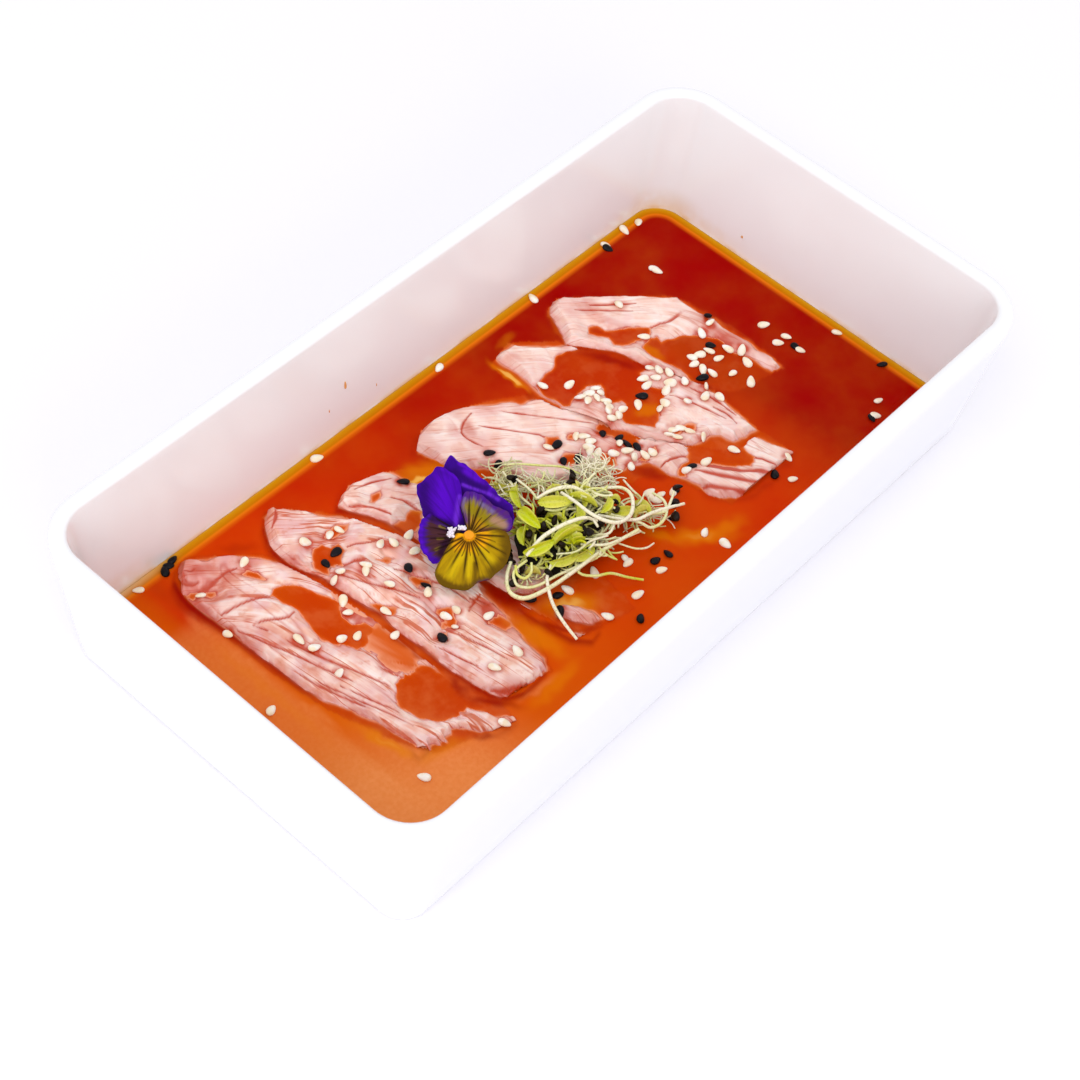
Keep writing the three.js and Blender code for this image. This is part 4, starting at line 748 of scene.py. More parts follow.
def cut_depth(index, x, y):
    """How far each place lies in one of a slice's cuts, from 0 to 1."""
    depth = np.zeros(x.shape)
    for half_width, line in SLICES[index]["cuts"]:
        line = curve_through(line, np.linspace(0, 1, 9))
        ends = np.minimum(np.hypot(x - line[0][0], y - line[0][1]),
                          np.hypot(x - line[-1][0], y - line[-1][1]))
        width = half_width * (0.45 + 0.55 * smoothstep(0, 3, ends))
        wander = 0.12 * soft_noise(x / 2.6, y / 2.6, 8)
        depth = np.maximum(depth, np.exp(-((line_distance(line, x, y) + wander) / width) ** 2))
    return depth


# Seed places

def scatter(patches, seed):
    """Places and turns of seeds, by a rule that gives the same ones on every run."""
    maker = random.Random(seed)
    places = []
    for x, y, spread, count in patches:
        for _ in range(count):
            place = (x + spread * maker.uniform(-1, 1), y + spread * maker.uniform(-1, 1))
            places.append((*place, maker.uniform(0, 2 * math.pi), maker.uniform(0.86, 1.1)))
    return places


def seed_nearness(x, y, reach=2.15):
    """How close each place is to a seed, from 0 to 1."""
    near = np.zeros(x.shape)
    for seed_x, seed_y, _, _ in scatter(WHITE_SEEDS, 4) + scatter(BLACK_SEEDS, 9):
        near = np.maximum(near, np.exp(-(((x - seed_x) ** 2 + (y - seed_y) ** 2) / reach ** 2) ** 2))
    return near


def surface_under(names):
    """Something that finds the highest point of the named pieces below a place."""
    points, faces = [], []
    for name in names:
        mesh = bpy.data.objects[name].data
        first = len(points)
        points.extend(vertex.co.copy() for vertex in mesh.vertices)
        faces.extend([first + i for i in face.vertices] for face in mesh.polygons)
    tree = BVHTree.FromPolygons(points, faces)

    def find(x, y):
        place, normal, _, _ = tree.ray_cast(Vector((x * MM, y * MM, 0.05)), Vector((0, 0, -1)))
        return (place.z / MM, normal) if place else (None, None)

    return find


# Shader nodes

def add_node(tree, kind, inputs=None, **settings):
    item = tree.nodes.new(kind)
    for key, value in settings.items():
        setattr(item, key, value)
    for key, value in (inputs or {}).items():
        if isinstance(value, bpy.types.NodeSocket):
            tree.links.new(value, item.inputs[key])
        else:
            item.inputs[key].default_value = value
    return item


def math_node(tree, operation, first, second=0.0, clamp=False):
    item = add_node(tree, "ShaderNodeMath", {0: first, 1: second}, operation=operation)
    item.use_clamp = clamp
    return item.outputs[0]


def blend_colours(tree, share, first, second, kind="MIX"):
    item = add_node(tree, "ShaderNodeMix", {0: share, 6: first, 7: second},
                    data_type="RGBA", blend_type=kind)
    return item.outputs[2]


def ramp(tree, value, stops):
    """A colour that runs through stops of place and colour as the value grows."""
    item = add_node(tree, "ShaderNodeValToRGB", {0: value})
    stop_list = item.color_ramp.elements
    while len(stop_list) < len(stops):
        stop_list.new(1.0)
    for element, (place, shade) in zip(stop_list, stops):
        element.position = place
        element.color = shade
    return item.outputs[0]


def span(tree, value, low, high, start=0.0, end=1.0):
    """A value's way from low to high, as a share from start to end."""
    item = add_node(tree, "ShaderNodeMapRange",
                    {"Value": value, "From Min": low, "From Max": high, "To Min": start, "To Max": end},
                    interpolation_type="SMOOTHSTEP")
    return item.outputs[0]


def attribute(tree, name):
    return add_node(tree, "ShaderNodeAttribute", attribute_name=name).outputs["Fac"]


def object_place(tree):
    return add_node(tree, "ShaderNodeTexCoord").outputs["Object"]


def noise(tree, place, scale, detail=3.0, roughness=0.55):
    item = add_node(tree, "ShaderNodeTexNoise",
                    {"Vector": place, "Scale": scale, "Detail": detail, "Roughness": roughness})
    return item.outputs[0]


def bump(tree, shader, height, distance, strength=1.0):
    item = add_node(tree, "ShaderNodeBump",
                    {"Height": height, "Distance": distance, "Strength": strength})
    tree.links.new(item.outputs[0], shader.inputs["Normal"])


def start_finish(name, **values):
    """A material with its shader's plain values set on their own sockets."""
    finish = bpy.data.materials.new(name)
    finish.use_nodes = True
    shader = finish.node_tree.nodes["Principled BSDF"]
    for key, value in values.items():
        shader.inputs[key.replace("_", " ")].default_value = value
    return finish, finish.node_tree, shader


def make_group(name, inputs, outputs):
    """An empty shader node group with named sockets, and its two end nodes."""
    group = bpy.data.node_groups.new(name, "ShaderNodeTree")
    for label, kind, default in inputs:
        socket = group.interface.new_socket(name=label, in_out="INPUT", socket_type=kind)
        if default is not None:
            socket.default_value = default
    for label, kind in outputs:
        group.interface.new_socket(name=label, in_out="OUTPUT", socket_type=kind)
    return group, group.nodes.new("NodeGroupInput"), group.nodes.new("NodeGroupOutput")


def mottle_group():
    """Soft blotches and a fine grain, for any finish that is not quite even."""
    if "mottle" in bpy.data.node_groups:
        return bpy.data.node_groups["mottle"]
    group, start, end = make_group(
        "mottle",
        (("Place", "NodeSocketVector", None), ("Blotches", "NodeSocketFloat", 60.0),
         ("Grain", "NodeSocketFloat", 900.0)),
        (("Blotch", "NodeSocketFloat"), ("Grain", "NodeSocketFloat")),
    )
    for label, detail in (("Blotches", 2.0), ("Grain", 3.0)):
        value = noise(group, start.outputs["Place"], start.outputs[label], detail)
        group.links.new(value, end.inputs["Blotch" if label == "Blotches" else "Grain"])
    return group


def streak_group():
    """Fine streaks along a piece, from its map: across runs 0 to 1, along runs 0 to 1."""
    if "streaks" in bpy.data.node_groups:
        return bpy.data.node_groups["streaks"]
    group, start, end = make_group(
        "streaks",
        (("Map", "NodeSocketVector", None), ("Across", "NodeSocketFloat", 40.0),
         ("Along", "NodeSocketFloat", 3.0)),
        (("Streak", "NodeSocketFloat"), ("Line", "NodeSocketFloat")),
    )
    stretch = add_node(group, "ShaderNodeCombineXYZ",
                       {0: start.outputs["Across"], 1: start.outputs["Along"], 2: 1.0}).outputs[0]
    place = add_node(group, "ShaderNodeVectorMath", {0: start.outputs["Map"], 1: stretch},
                     operation="MULTIPLY").outputs[0]
    streak = noise(group, place, 1.0, 3.0, 0.6)
    line = span(group, math_node(group, "ABSOLUTE", math_node(group, "SUBTRACT", streak, 0.5)),
                0.0, 0.035, 1.0, 0.0)
    group.links.new(streak, end.inputs["Streak"])
    group.links.new(line, end.inputs["Line"])
    return group


def use_group(tree, group, **inputs):
    item = add_node(tree, "ShaderNodeGroup", node_tree=group)
    for key, value in inputs.items():
        if isinstance(value, bpy.types.NodeSocket):
            tree.links.new(value, item.inputs[key])
        else:
            item.inputs[key].default_value = value
    return item.outputs


# Finishes

def porcelain_finish(settings):
    finish, tree, shader = start_finish("white_porcelain", Roughness=settings.roughness,
                                        Coat_Weight=0.3, Coat_Roughness=0.06)
    place = object_place(tree)
    marks = use_group(tree, mottle_group(), Place=place, Blotches=28.0, Grain=700.0)
    shade = blend_colours(tree, math_node(tree, "MULTIPLY", marks["Blotch"], 0.35),
                          (*settings.glaze, 1.0), colour(245, 240, 245))
    along, across, height = add_node(tree, "ShaderNodeSeparateXYZ", {0: place}).outputs
    # painted shade: the outer long wall on the -y side is darker below the rim
    shaded_side = math_node(tree, "MULTIPLY", span(tree, across, -54 * MM, -58 * MM),
                         span(tree, height, 36 * MM, 45 * MM, 1.0, 0.0))
    shade = blend_colours(tree, shaded_side, shade, colour(233, 233, 240))
    tide = math_node(tree, "MULTIPLY", span(tree, height, 8.2 * MM, 10.2 * MM, 1.0, 0.0),
                     span(tree, noise(tree, place, 90.0), 0.42, 0.62))
    near_end = span(tree, along, -94 * MM, -74 * MM, 1.0, 0.0)
    far_corner = math_node(tree, "MULTIPLY", span(tree, along, 80 * MM, 104 * MM),
                           span(tree, across, 16 * MM, 44 * MM))
    haze = math_node(tree, "MULTIPLY", math_node(tree, "MAXIMUM", near_end, far_corner),
                     span(tree, height, 9 * MM, 17 * MM, 0.75, 0.0))
    haze = math_node(tree, "MULTIPLY", haze, span(tree, noise(tree, place, 70.0), 0.36, 0.6))
    for mark, strength, tint in ((haze, 0.8, colour(230, 206, 168)), (tide, 0.7, colour(226, 178, 92))):
        mark = math_node(tree, "MULTIPLY", mark, attribute(tree, "inner"))
        shade = blend_colours(tree, math_node(tree, "MULTIPLY", mark, strength), shade, tint)
    tree.links.new(shade, shader.inputs["Base Color"])
    bump(tree, shader, marks["Blotch"], 0.12 * MM, 0.35)
    return finish


def sauce_finish(settings):
    finish, tree, shader = start_finish("red_sauce", Roughness=0.06, IOR=1.36,
                                        Specular_IOR_Level=0.04)
    place = object_place(tree)
    depth = math_node(tree, "DIVIDE", attribute(tree, "depth"), LEVEL - FLOOR_TOP)
    red = attribute(tree, "redness")
    open_sauce = ramp(tree, red, ((0.0, colour(222, 112, 24)), (0.35, colour(213, 78, 6)),
                                  (0.65, colour(203, 46, 0)), (1.0, colour(158, 4, 0))))
    wall = math_node(tree, "DIVIDE", attribute(tree, "wall"), WALL_BAND)
    # along the wall the sauce runs gold where it is thin, and the lighter stripe in the band is a painted highlight
    # along the sauce's edge
    over_floor = blend_colours(tree, span(tree, wall, 0.5, 0.86), ramp(tree, wall, (
        (0.0, colour(222, 170, 80)), (0.1, colour(210, 146, 20)), (0.36, colour(202, 118, 4)),
        (0.47, colour(230, 122, 24)), (0.62, colour(222, 98, 18)))), open_sauce)
    along = add_node(tree, "ShaderNodeSeparateXYZ", {0: place}).outputs[0]
    pale_end = math_node(tree, "MULTIPLY", span(tree, along, -96 * MM, -76 * MM, 0.55, 0.0),
                         span(tree, wall, 0.0, 0.5, 1.0, 0.0))
    over_floor = blend_colours(tree, pale_end, over_floor, colour(238, 206, 170))
    over_fish = ramp(tree, depth, (
        (0.0, colour(240, 168, 138)), (0.022, colour(232, 142, 104)), (0.05, colour(214, 92, 42)),
        (0.1, colour(204, 72, 16)), (0.24, colour(196, 60, 8)), (0.5, colour(186, 46, 2))))
    over_fish = blend_colours(tree, span(tree, noise(tree, place, 160.0, 3.0), 0.45, 0.7, 0.0, 0.45), over_fish,
                              colour(212, 104, 56))
    over_fish = blend_colours(tree, math_node(tree, "MULTIPLY", span(tree, depth, 0.03, 0.3),
                                              math_node(tree, "MULTIPLY", red, 0.55)),
                              over_fish, open_sauce)
    shade = blend_colours(tree, attribute(tree, "over"), over_floor, over_fish)
    cloud = span(tree, noise(tree, place, 45.0, 4.0), 0.3, 0.75)
    shade = blend_colours(tree, math_node(tree, "MULTIPLY", cloud, 0.16), shade, colour(226, 120, 24))
    # the milky colour, partly cloudy sauce and partly painted sheen
    milk_and_sheen = math_node(tree, "MULTIPLY", attribute(tree, "milk_and_sheen"),
                     span(tree, noise(tree, place, 900.0, 2.0), 0.2, 0.8, 0.7, 1.0))
    shade = blend_colours(tree, milk_and_sheen, shade, (*settings.milky_sheen, 1.0))
    shade = blend_colours(tree, attribute(tree, "amber"), shade, colour(228, 128, 8))
    shade = blend_colours(tree, span(tree, attribute(tree, "amber"), 0.6, 1.0, 0.0, 0.8), shade,
                          colour(250, 196, 96))
    # the painted shadows of the fish, in dark red
    shade = blend_colours(tree, attribute(tree, "painted_shadow"), shade, colour(144, 2, 0))
    tree.links.new(shade, shader.inputs["Base Color"])
    bump(tree, shader, noise(tree, place, 34.0, 1.0), 1.0 * MM, 0.12)
    return finish


def fish_finish(settings):
    finish, tree, shader = start_finish("raw_fish", Roughness=0.34, Coat_Weight=0.55,
                                        Coat_Roughness=0.1, Subsurface_Weight=0.12,
                                        Subsurface_Scale=0.6 * MM)
    shader.inputs["Subsurface Radius"].default_value = (1.0, 0.35, 0.2)
    place = object_place(tree)
    flat = add_node(tree, "ShaderNodeUVMap", uv_map="UVMap").outputs[0]
    streaks = use_group(tree, streak_group(), Map=flat, Across=15.0, Along=2.6)
    seams = use_group(tree, streak_group(), Map=flat, Across=5.6, Along=1.1)
    marks = use_group(tree, mottle_group(), Place=place, Blotches=190.0, Grain=1500.0)
    grain = attribute(tree, "grain")
    uneven = span(tree, grain, 0.3, 1.0, 0.4, 1.0)
    blotches = math_node(tree, "MULTIPLY", span(tree, marks["Blotch"], 0.42, 0.62), uneven)
    shade = blend_colours(tree, blotches, (*settings.flesh, 1.0), (*settings.flesh_dark, 1.0))
    haze = math_node(tree, "MULTIPLY", span(tree, noise(tree, place, 120.0, 2.0), 0.5, 0.66, 0.0, 0.5), uneven)
    shade = blend_colours(tree, haze, shade, (*settings.haze, 1.0))
    shade = blend_colours(tree, span(tree, streaks["Streak"], 0.5, 0.68, 0.0, 0.7), shade,
                          (*settings.fat, 1.0))
    rust = math_node(tree, "MULTIPLY", span(tree, noise(tree, place, 330.0, 4.0), 0.56, 0.7, 0.0, 0.5), grain)
    shade = blend_colours(tree, rust, shade, colour(222, 136, 96))
    broken = span(tree, noise(tree, place, 105.0, 2.0), 0.38, 0.52)
    for lines, strength, tint in ((streaks["Line"], 0.3, colour(222, 146, 128)),
                                  (seams["Line"], 0.95, colour(206, 96, 44))):
        line = math_node(tree, "MULTIPLY", span(tree, lines, 0.45, 1.0), broken)
        line = math_node(tree, "MULTIPLY", line, strength)
        shade = blend_colours(tree, math_node(tree, "MULTIPLY", line, grain), shade, tint)
    shade = blend_colours(tree, attribute(tree, "blush"), shade, (*settings.blush, 1.0))
    shade = blend_colours(tree, attribute(tree, "stain"), shade, (*settings.stain, 1.0))
    tree.links.new(shade, shader.inputs["Base Color"])
    bump(tree, shader, streaks["Streak"], 0.3 * MM, 0.5)
    return finish


def seed_finish(name, light, dark, roughness):
    finish, tree, shader = start_finish(name, Roughness=roughness, Specular_IOR_Level=0.14,
                                        Coat_Weight=0.06, Coat_Roughness=0.1)
    marks = use_group(tree, mottle_group(), Place=object_place(tree), Blotches=420.0, Grain=2600.0)
    shade = blend_colours(tree, span(tree, marks["Blotch"], 0.35, 0.65), light, dark)
    shade = blend_colours(tree, math_node(tree, "MULTIPLY", attribute(tree, "tone"), 0.4), shade, dark)
    tree.links.new(shade, shader.inputs["Base Color"])
    bump(tree, shader, marks["Grain"], 0.1 * MM, 0.5)
    return finish


def sprout_finish(name, pale, green, roughness):
    """Stems and leaves run from pale to green by their own greenness."""
    finish, tree, shader = start_finish(name, Roughness=roughness, Coat_Weight=0.2,
                                        Coat_Roughness=0.2)
    marks = use_group(tree, mottle_group(), Place=object_place(tree), Blotches=260.0, Grain=1800.0)
    mixed = math_node(tree, "ADD", attribute(tree, "tone"), math_node(
        tree, "MULTIPLY", math_node(tree, "SUBTRACT", marks["Blotch"], 0.5), 0.9), clamp=True)
    shade = blend_colours(tree, mixed, pale, green)
    shade = blend_colours(tree, span(tree, marks["Grain"], 0.5, 0.75, 0.0, 0.5), shade, colour(140, 128, 20))
    shade = blend_colours(tree, span(tree, attribute(tree, "edge"), 0.55, 0.95, 0.0, 0.55), shade, pale)
    # painted shade: stems and leaves low in the heap are darkened by their shade value
    shade = blend_colours(tree, math_node(tree, "MULTIPLY", attribute(tree, "shade"), 0.85), shade,
                          colour(92, 72, 8))
    tree.links.new(shade, shader.inputs["Base Color"])
    bump(tree, shader, marks["Grain"], 0.12 * MM, 0.5)
    return finish


def petal_finish(name, rim, body, throat, vein, light, pale, dark):
    """A petal's colours run from its throat to its rim, with folds and veins over them."""
    finish, tree, shader = start_finish(name, Roughness=0.7, Specular_IOR_Level=0.08)
    flat = add_node(tree, "ShaderNodeUVMap", uv_map="UVMap").outputs[0]
    streaks = use_group(tree, streak_group(), Map=flat, Across=30.0, Along=1.6)
    ragged = math_node(tree, "MULTIPLY", math_node(tree, "SUBTRACT", streaks["Streak"], 0.5), 1.3)
    shade = blend_colours(tree, span(tree, attribute(tree, "throat"), 0.15, 0.85), body, throat)
    shade = blend_colours(tree, span(tree, math_node(tree, "ADD", attribute(tree, "rim"), ragged),
                                     0.1, 0.9), shade, rim)
    # the light and dark strokes are partly painted highlight and shade of the folds, partly the petal's own colour
    for key, paint in (("light", light), ("pale", pale), ("dark", dark)):
        strength = math_node(tree, "ADD", attribute(tree, key), math_node(tree, "MULTIPLY", ragged, 0.5))
        shade = blend_colours(tree, span(tree, strength, 0.05, 1.1, 0.0, 0.9), shade, paint)
    rays = use_group(tree, streak_group(), Map=flat, Across=13.0, Along=0.8)
    for ray, reach in ((rays, 0.75), (streaks, 0.4)):
        clear = span(tree, attribute(tree, "throat"), 0.3, 1.0, reach, 0.1)
        strength = math_node(tree, "MULTIPLY", span(tree, ray["Streak"], 0.48, 0.66), clear)
        shade = blend_colours(tree, strength, shade, blend_colours(tree, 0.55, shade, dark))
    shade = blend_colours(tree, math_node(tree, "MULTIPLY", attribute(tree, "vein"), 0.97), shade, vein)
    tree.links.new(shade, shader.inputs["Base Color"])
    bump(tree, shader, streaks["Streak"], 0.3 * MM, 0.5)
    return finish


def plain_plant_finish(name, light, dark, roughness=0.5):
    finish, tree, shader = start_finish(name, Roughness=roughness)
    marks = use_group(tree, mottle_group(), Place=object_place(tree), Blotches=500.0, Grain=2500.0)
    tree.links.new(blend_colours(tree, marks["Blotch"], light, dark), shader.inputs["Base Color"])
    bump(tree, shader, marks["Grain"], 0.1 * MM, 0.5)
    return finish


# Geometry node trees

def start_tree(name, inputs):
    tree = bpy.data.node_groups.new(name, "GeometryNodeTree")
    tree.interface.new_socket(name="Geometry", in_out="INPUT", socket_type="NodeSocketGeometry")
    for label, kind in inputs:
        tree.interface.new_socket(name=label, in_out="INPUT", socket_type=kind)
    tree.interface.new_socket(name="Geometry", in_out="OUTPUT", socket_type="NodeSocketGeometry")
    return tree, tree.nodes.new("NodeGroupInput"), tree.nodes.new("NodeGroupOutput")


def end_tree(tree, start, end, geometry):
    """Makes instances real, smooths them and gives them their material."""
    real = add_node(tree, "GeometryNodeRealizeInstances", {0: geometry}).outputs[0]
    smooth = add_node(tree, "GeometryNodeSetShadeSmooth", {0: real}).outputs[0]
    final = add_node(tree, "GeometryNodeSetMaterial", {"Geometry": smooth,
                                                       "Material": start.outputs["Material"]})
    tree.links.new(final.outputs[0], end.inputs[0])
    return tree


def named(tree, name, kind="FLOAT"):
    item = add_node(tree, "GeometryNodeInputNamedAttribute", {"Name": name}, data_type=kind)
    return item.outputs["Attribute"]


def grains_tree():
    """Puts a small tapered, folded and curled body on each point."""
    if "grains_on_points" in bpy.data.node_groups:
        return bpy.data.node_groups["grains_on_points"]
    tree, start, end = start_tree("grains_on_points", (
        ("Length", "NodeSocketFloat"), ("Width", "NodeSocketFloat"), ("Thickness", "NodeSocketFloat"),
        ("Taper", "NodeSocketFloat"), ("Fold", "NodeSocketFloat"), ("Curl", "NodeSocketFloat"),
        ("Segments", "NodeSocketInt"), ("Rings", "NodeSocketInt"), ("Material", "NodeSocketMaterial")))
    ball = add_node(tree, "GeometryNodeMeshUVSphere", {
        "Segments": start.outputs["Segments"], "Rings": start.outputs["Rings"], "Radius": 0.5})
    parts = add_node(tree, "ShaderNodeSeparateXYZ", {0: add_node(
        tree, "GeometryNodeInputPosition").outputs[0]}).outputs
    taper = math_node(tree, "SUBTRACT", 1.0, math_node(
        tree, "MULTIPLY", math_node(tree, "MULTIPLY", parts[2], 2.0), start.outputs["Taper"]))
    x = math_node(tree, "MULTIPLY", parts[2], start.outputs["Length"])
    y = math_node(tree, "MULTIPLY", math_node(tree, "MULTIPLY", parts[0], start.outputs["Width"]), taper)
    flat = math_node(tree, "MULTIPLY", math_node(
        tree, "MULTIPLY", parts[1], start.outputs["Thickness"]), taper)
    fold = math_node(tree, "MULTIPLY", math_node(tree, "ABSOLUTE", y), start.outputs["Fold"])
    curl = math_node(tree, "MULTIPLY", math_node(tree, "MULTIPLY", math_node(
        tree, "MULTIPLY", parts[2], parts[2]), start.outputs["Length"]), start.outputs["Curl"])
    z = math_node(tree, "ADD", flat, math_node(tree, "SUBTRACT", fold, curl))
    edge = math_node(tree, "ABSOLUTE", math_node(tree, "MULTIPLY", parts[0], 2.0))
    marked = add_node(tree, "GeometryNodeStoreNamedAttribute", {
        "Geometry": ball.outputs["Mesh"], "Name": "edge", "Value": edge}, data_type="FLOAT", domain="POINT")
    shape = add_node(tree, "GeometryNodeSetPosition", {
        "Geometry": marked.outputs[0],
        "Position": add_node(tree, "ShaderNodeCombineXYZ", {0: x, 1: y, 2: z}).outputs[0]})
    turn = add_node(tree, "FunctionNodeEulerToRotation", {0: named(tree, "turn", "FLOAT_VECTOR")})
    grains = add_node(tree, "GeometryNodeInstanceOnPoints", {
        "Points": start.outputs["Geometry"], "Instance": shape.outputs[0],
        "Rotation": turn.outputs[0], "Scale": named(tree, "size", "FLOAT_VECTOR")})
    return end_tree(tree, start, end, grains.outputs[0])


def stems_tree():
    """Makes a round stem of its own girth along each line."""
    if "stems_on_lines" in bpy.data.node_groups:
        return bpy.data.node_groups["stems_on_lines"]
    tree, start, end = start_tree("stems_on_lines", (
        ("Girth", "NodeSocketFloat"), ("Sides", "NodeSocketInt"), ("Material", "NodeSocketMaterial")))
    lines = add_node(tree, "GeometryNodeMeshToCurve", {0: start.outputs["Geometry"]}).outputs[0]
    girth = math_node(tree, "MULTIPLY", named(tree, "girth"), start.outputs["Girth"])
    ring = add_node(tree, "GeometryNodeCurvePrimitiveCircle", {
        "Resolution": start.outputs["Sides"], "Radius": 1.0}, mode="RADIUS")
    stems = add_node(tree, "GeometryNodeCurveToMesh", {
        "Curve": lines, "Profile Curve": ring.outputs[0], "Scale": girth, "Fill Caps": True})
    return end_tree(tree, start, end, stems.outputs[0])


def grow_piece(name, tree, inputs, points, edges=(), values=None, vectors=None):
    """Runs a tree on points or lines and keeps the result as a plain mesh."""
    mesh = bpy.data.meshes.new(name)
    mesh.from_pydata((np.asarray(points, float) * MM).tolist(), list(edges), [])
    for key, data in (values or {}).items():
        mesh.attributes.new(key, "FLOAT", "POINT").data.foreach_set("value", np.ravel(data))
    for key, data in (vectors or {}).items():
        mesh.attributes.new(key, "FLOAT_VECTOR", "POINT").data.foreach_set("vector", np.ravel(data))
    piece = bpy.data.objects.new(name, mesh)
    bpy.context.scene.collection.objects.link(piece)
    modifier = piece.modifiers.new("build", "NODES")
    modifier.node_group = tree
    for item in tree.interface.items_tree:
        if item.in_out == "INPUT" and item.name in inputs:
            modifier[item.identifier] = inputs[item.name]
    graph = bpy.context.evaluated_depsgraph_get()
    result = bpy.data.meshes.new_from_object(piece.evaluated_get(graph))
    piece.modifiers.clear()
    piece.data = result
    if not result.polygons:
        raise RuntimeError(f"{name} came out empty")
    return piece


# Settings

def colour_setting(label, words, default):
    return FloatVectorProperty(name=label, description=words, subtype="COLOR", size=3, min=0, max=1,
                               default=default[:3])


class DishSettings(PropertyGroup):
    glaze: colour_setting("Glaze", "Colour of the porcelain", colour(246, 248, 248))
    roughness: FloatProperty(name="Roughness", description="How dull the glaze is", default=0.22,
                             min=0, max=1, subtype="FACTOR")
    corner_steps: IntProperty(name="Corner steps", description="Steps round each corner", default=14,
                              min=4, max=40)


class SauceSettings(PropertyGroup):
    mesh_step: FloatProperty(name="Mesh step", description="Distance between the surface's points",
                             default=0.5 * MM, min=0.3 * MM, subtype="DISTANCE", unit="LENGTH")
    # the milky front is partly cloudy sauce and partly painted sheen
    milky_sheen: colour_setting("Milky front", "Colour where the sauce looks cloudy", colour(240, 148, 84))
    creep: FloatProperty(name="Creep", description="How far the sauce creeps up the wall",
                         default=0.5 * MM, min=0, subtype="DISTANCE", unit="LENGTH")


class FishSettings(PropertyGroup):
    mesh_step: FloatProperty(name="Mesh step", description="Distance between a slice's points",
                             default=0.345 * MM, min=0.25 * MM, subtype="DISTANCE", unit="LENGTH")
    flesh: colour_setting("Flesh", "Main colour of the fish", colour(255, 229, 216))
    flesh_dark: colour_setting("Darker flesh", "Colour of its darker blotches", colour(244, 190, 166))
    haze: colour_setting("Haze", "Colour of its cool blotches", colour(232, 184, 190))
    fat: colour_setting("Fat", "Colour of its pale lines", colour(255, 242, 235))
    blush: colour_setting("Blush", "Colour of its redder edges", colour(216, 96, 80))
    stain: colour_setting("Stain", "Colour where sauce wets it", colour(196, 62, 16))


class SeedSettings(PropertyGroup):
    length: FloatProperty(name="Length", description="Length of a sesame seed", default=3.4 * MM,
                          min=MM, subtype="DISTANCE", unit="LENGTH")
    width: FloatProperty(name="Width", description="Width of a sesame seed", default=2.15 * MM,
                         min=0.5 * MM, subtype="DISTANCE", unit="LENGTH")
    height: FloatProperty(name="Height", description="Thickness of a sesame seed", default=1.2 * MM,
                          min=0.3 * MM, subtype="DISTANCE", unit="LENGTH")
    white: colour_setting("White seeds", "Colour of the hulled seeds", colour(255, 254, 246))
    black: colour_setting("Black seeds", "Colour of the black seeds", colour(9, 6, 9))


class SproutSettings(PropertyGroup):
    girth: FloatProperty(name="Girth", description="Size of the stems against the tables",
                         default=0.78, min=0.2, max=3, subtype="FACTOR")
    pale: colour_setting("Pale stem", "Colour of the palest stems", colour(255, 249, 220))
    lime: colour_setting("Lime", "Colour of the greenest leaves", colour(206, 216, 4))


class ViolaSettings(PropertyGroup):
    violet: colour_setting("Violet", "Colour of the upper petals", colour(74, 4, 164))
    gold: colour_setting("Gold", "Colour of the lip", colour(182, 146, 10))
    vein: colour_setting("Veins", "Colour of the dark veins", colour(34, 12, 6))


class StageSettings(PropertyGroup):
    floor: colour_setting("Floor", "Colour of the floor", colour(249, 248, 252))
    daylight: FloatProperty(name="Daylight", description="Strength of the even light", default=0.93,
                            min=0)


# Building

def build_dish(settings):
    steps = settings.corner_steps
    foot = grow(BASE_OUTSIDE, -FOOT_INSET)
    rings = [(grow(foot, -FOOT_WIDTH - FOOT_DEPTH), FOOT_DEPTH), (grow(foot, -FOOT_WIDTH), 0)]
    rings += [(grow(foot, -FOOT_WIDTH + 0.3), 0), (grow(foot, -0.3), 0), (foot, 0)]
    for share in (0.25, 0.5, 0.75, 1.0):
        angle = 0.5 * math.pi * share
        rings.append((grow(BASE_OUTSIDE, -BASE_ROUNDING * (1 - math.sin(angle))),
                      BASE_ROUNDING * (1 - math.cos(angle))))
    for share in (0.15, 0.4, 0.65, 0.85, 0.95):
        mixed = [a + (b - a) * share for a, b in zip(BASE_OUTSIDE, RIM_OUTSIDE)]
        rings.append((mixed, BASE_ROUNDING + (DISH_HEIGHT - LIP_RISE - BASE_ROUNDING) * share))
    middle = [(a + b) / 2 for a, b in zip(RIM_OUTSIDE, RIM_INSIDE)]
    half = (RIM_OUTSIDE[0] - RIM_INSIDE[0]) / 2
    for angle in np.radians(np.linspace(0, 180, 11)):
        rings.append((grow(middle, half * math.cos(angle)),
                      DISH_HEIGHT - LIP_RISE * (1 - math.sin(angle))))
    first_inner = len(rings)
    top = DISH_HEIGHT - LIP_RISE
    for share in (0.05, 0.2, 0.5, 0.8, 1.0):
        mixed = [a + (b - a) * share for a, b in zip(RIM_INSIDE, WALL_FOOT)]
        rings.append((mixed, top + (FLOOR_TOP + FILLET - top) * share))
    for angle in np.radians(np.linspace(80, 0, 8)):
        z = FLOOR_TOP + FILLET * (1 - math.cos(angle))
        rings.append((fillet_outline(z), z))
    rings.append((grow(fillet_outline(FLOOR_TOP), -2), FLOOR_TOP))
    points = [place for outline, z in rings for place in rounded_ring(outline, z, steps)]
    count = 4 * (steps + 1)
    faces = ring_faces(len(rings), count)
    last = (len(rings) - 1) * count
    points += [(0, 0, FOOT_DEPTH), (0, 0, FLOOR_TOP)]
    for i in range(count):
        after = (i + 1) % count
        faces.append((len(points) - 2, after, i))
        faces.append((len(points) - 1, last + i, last + after))
    inner = [float(i >= first_inner * count) for i in range(len(points))]
    dish = make_piece("porcelain_dish", points, faces, porcelain_finish(settings), {"inner": inner})
    settle(dish, "porcelain", "dish")


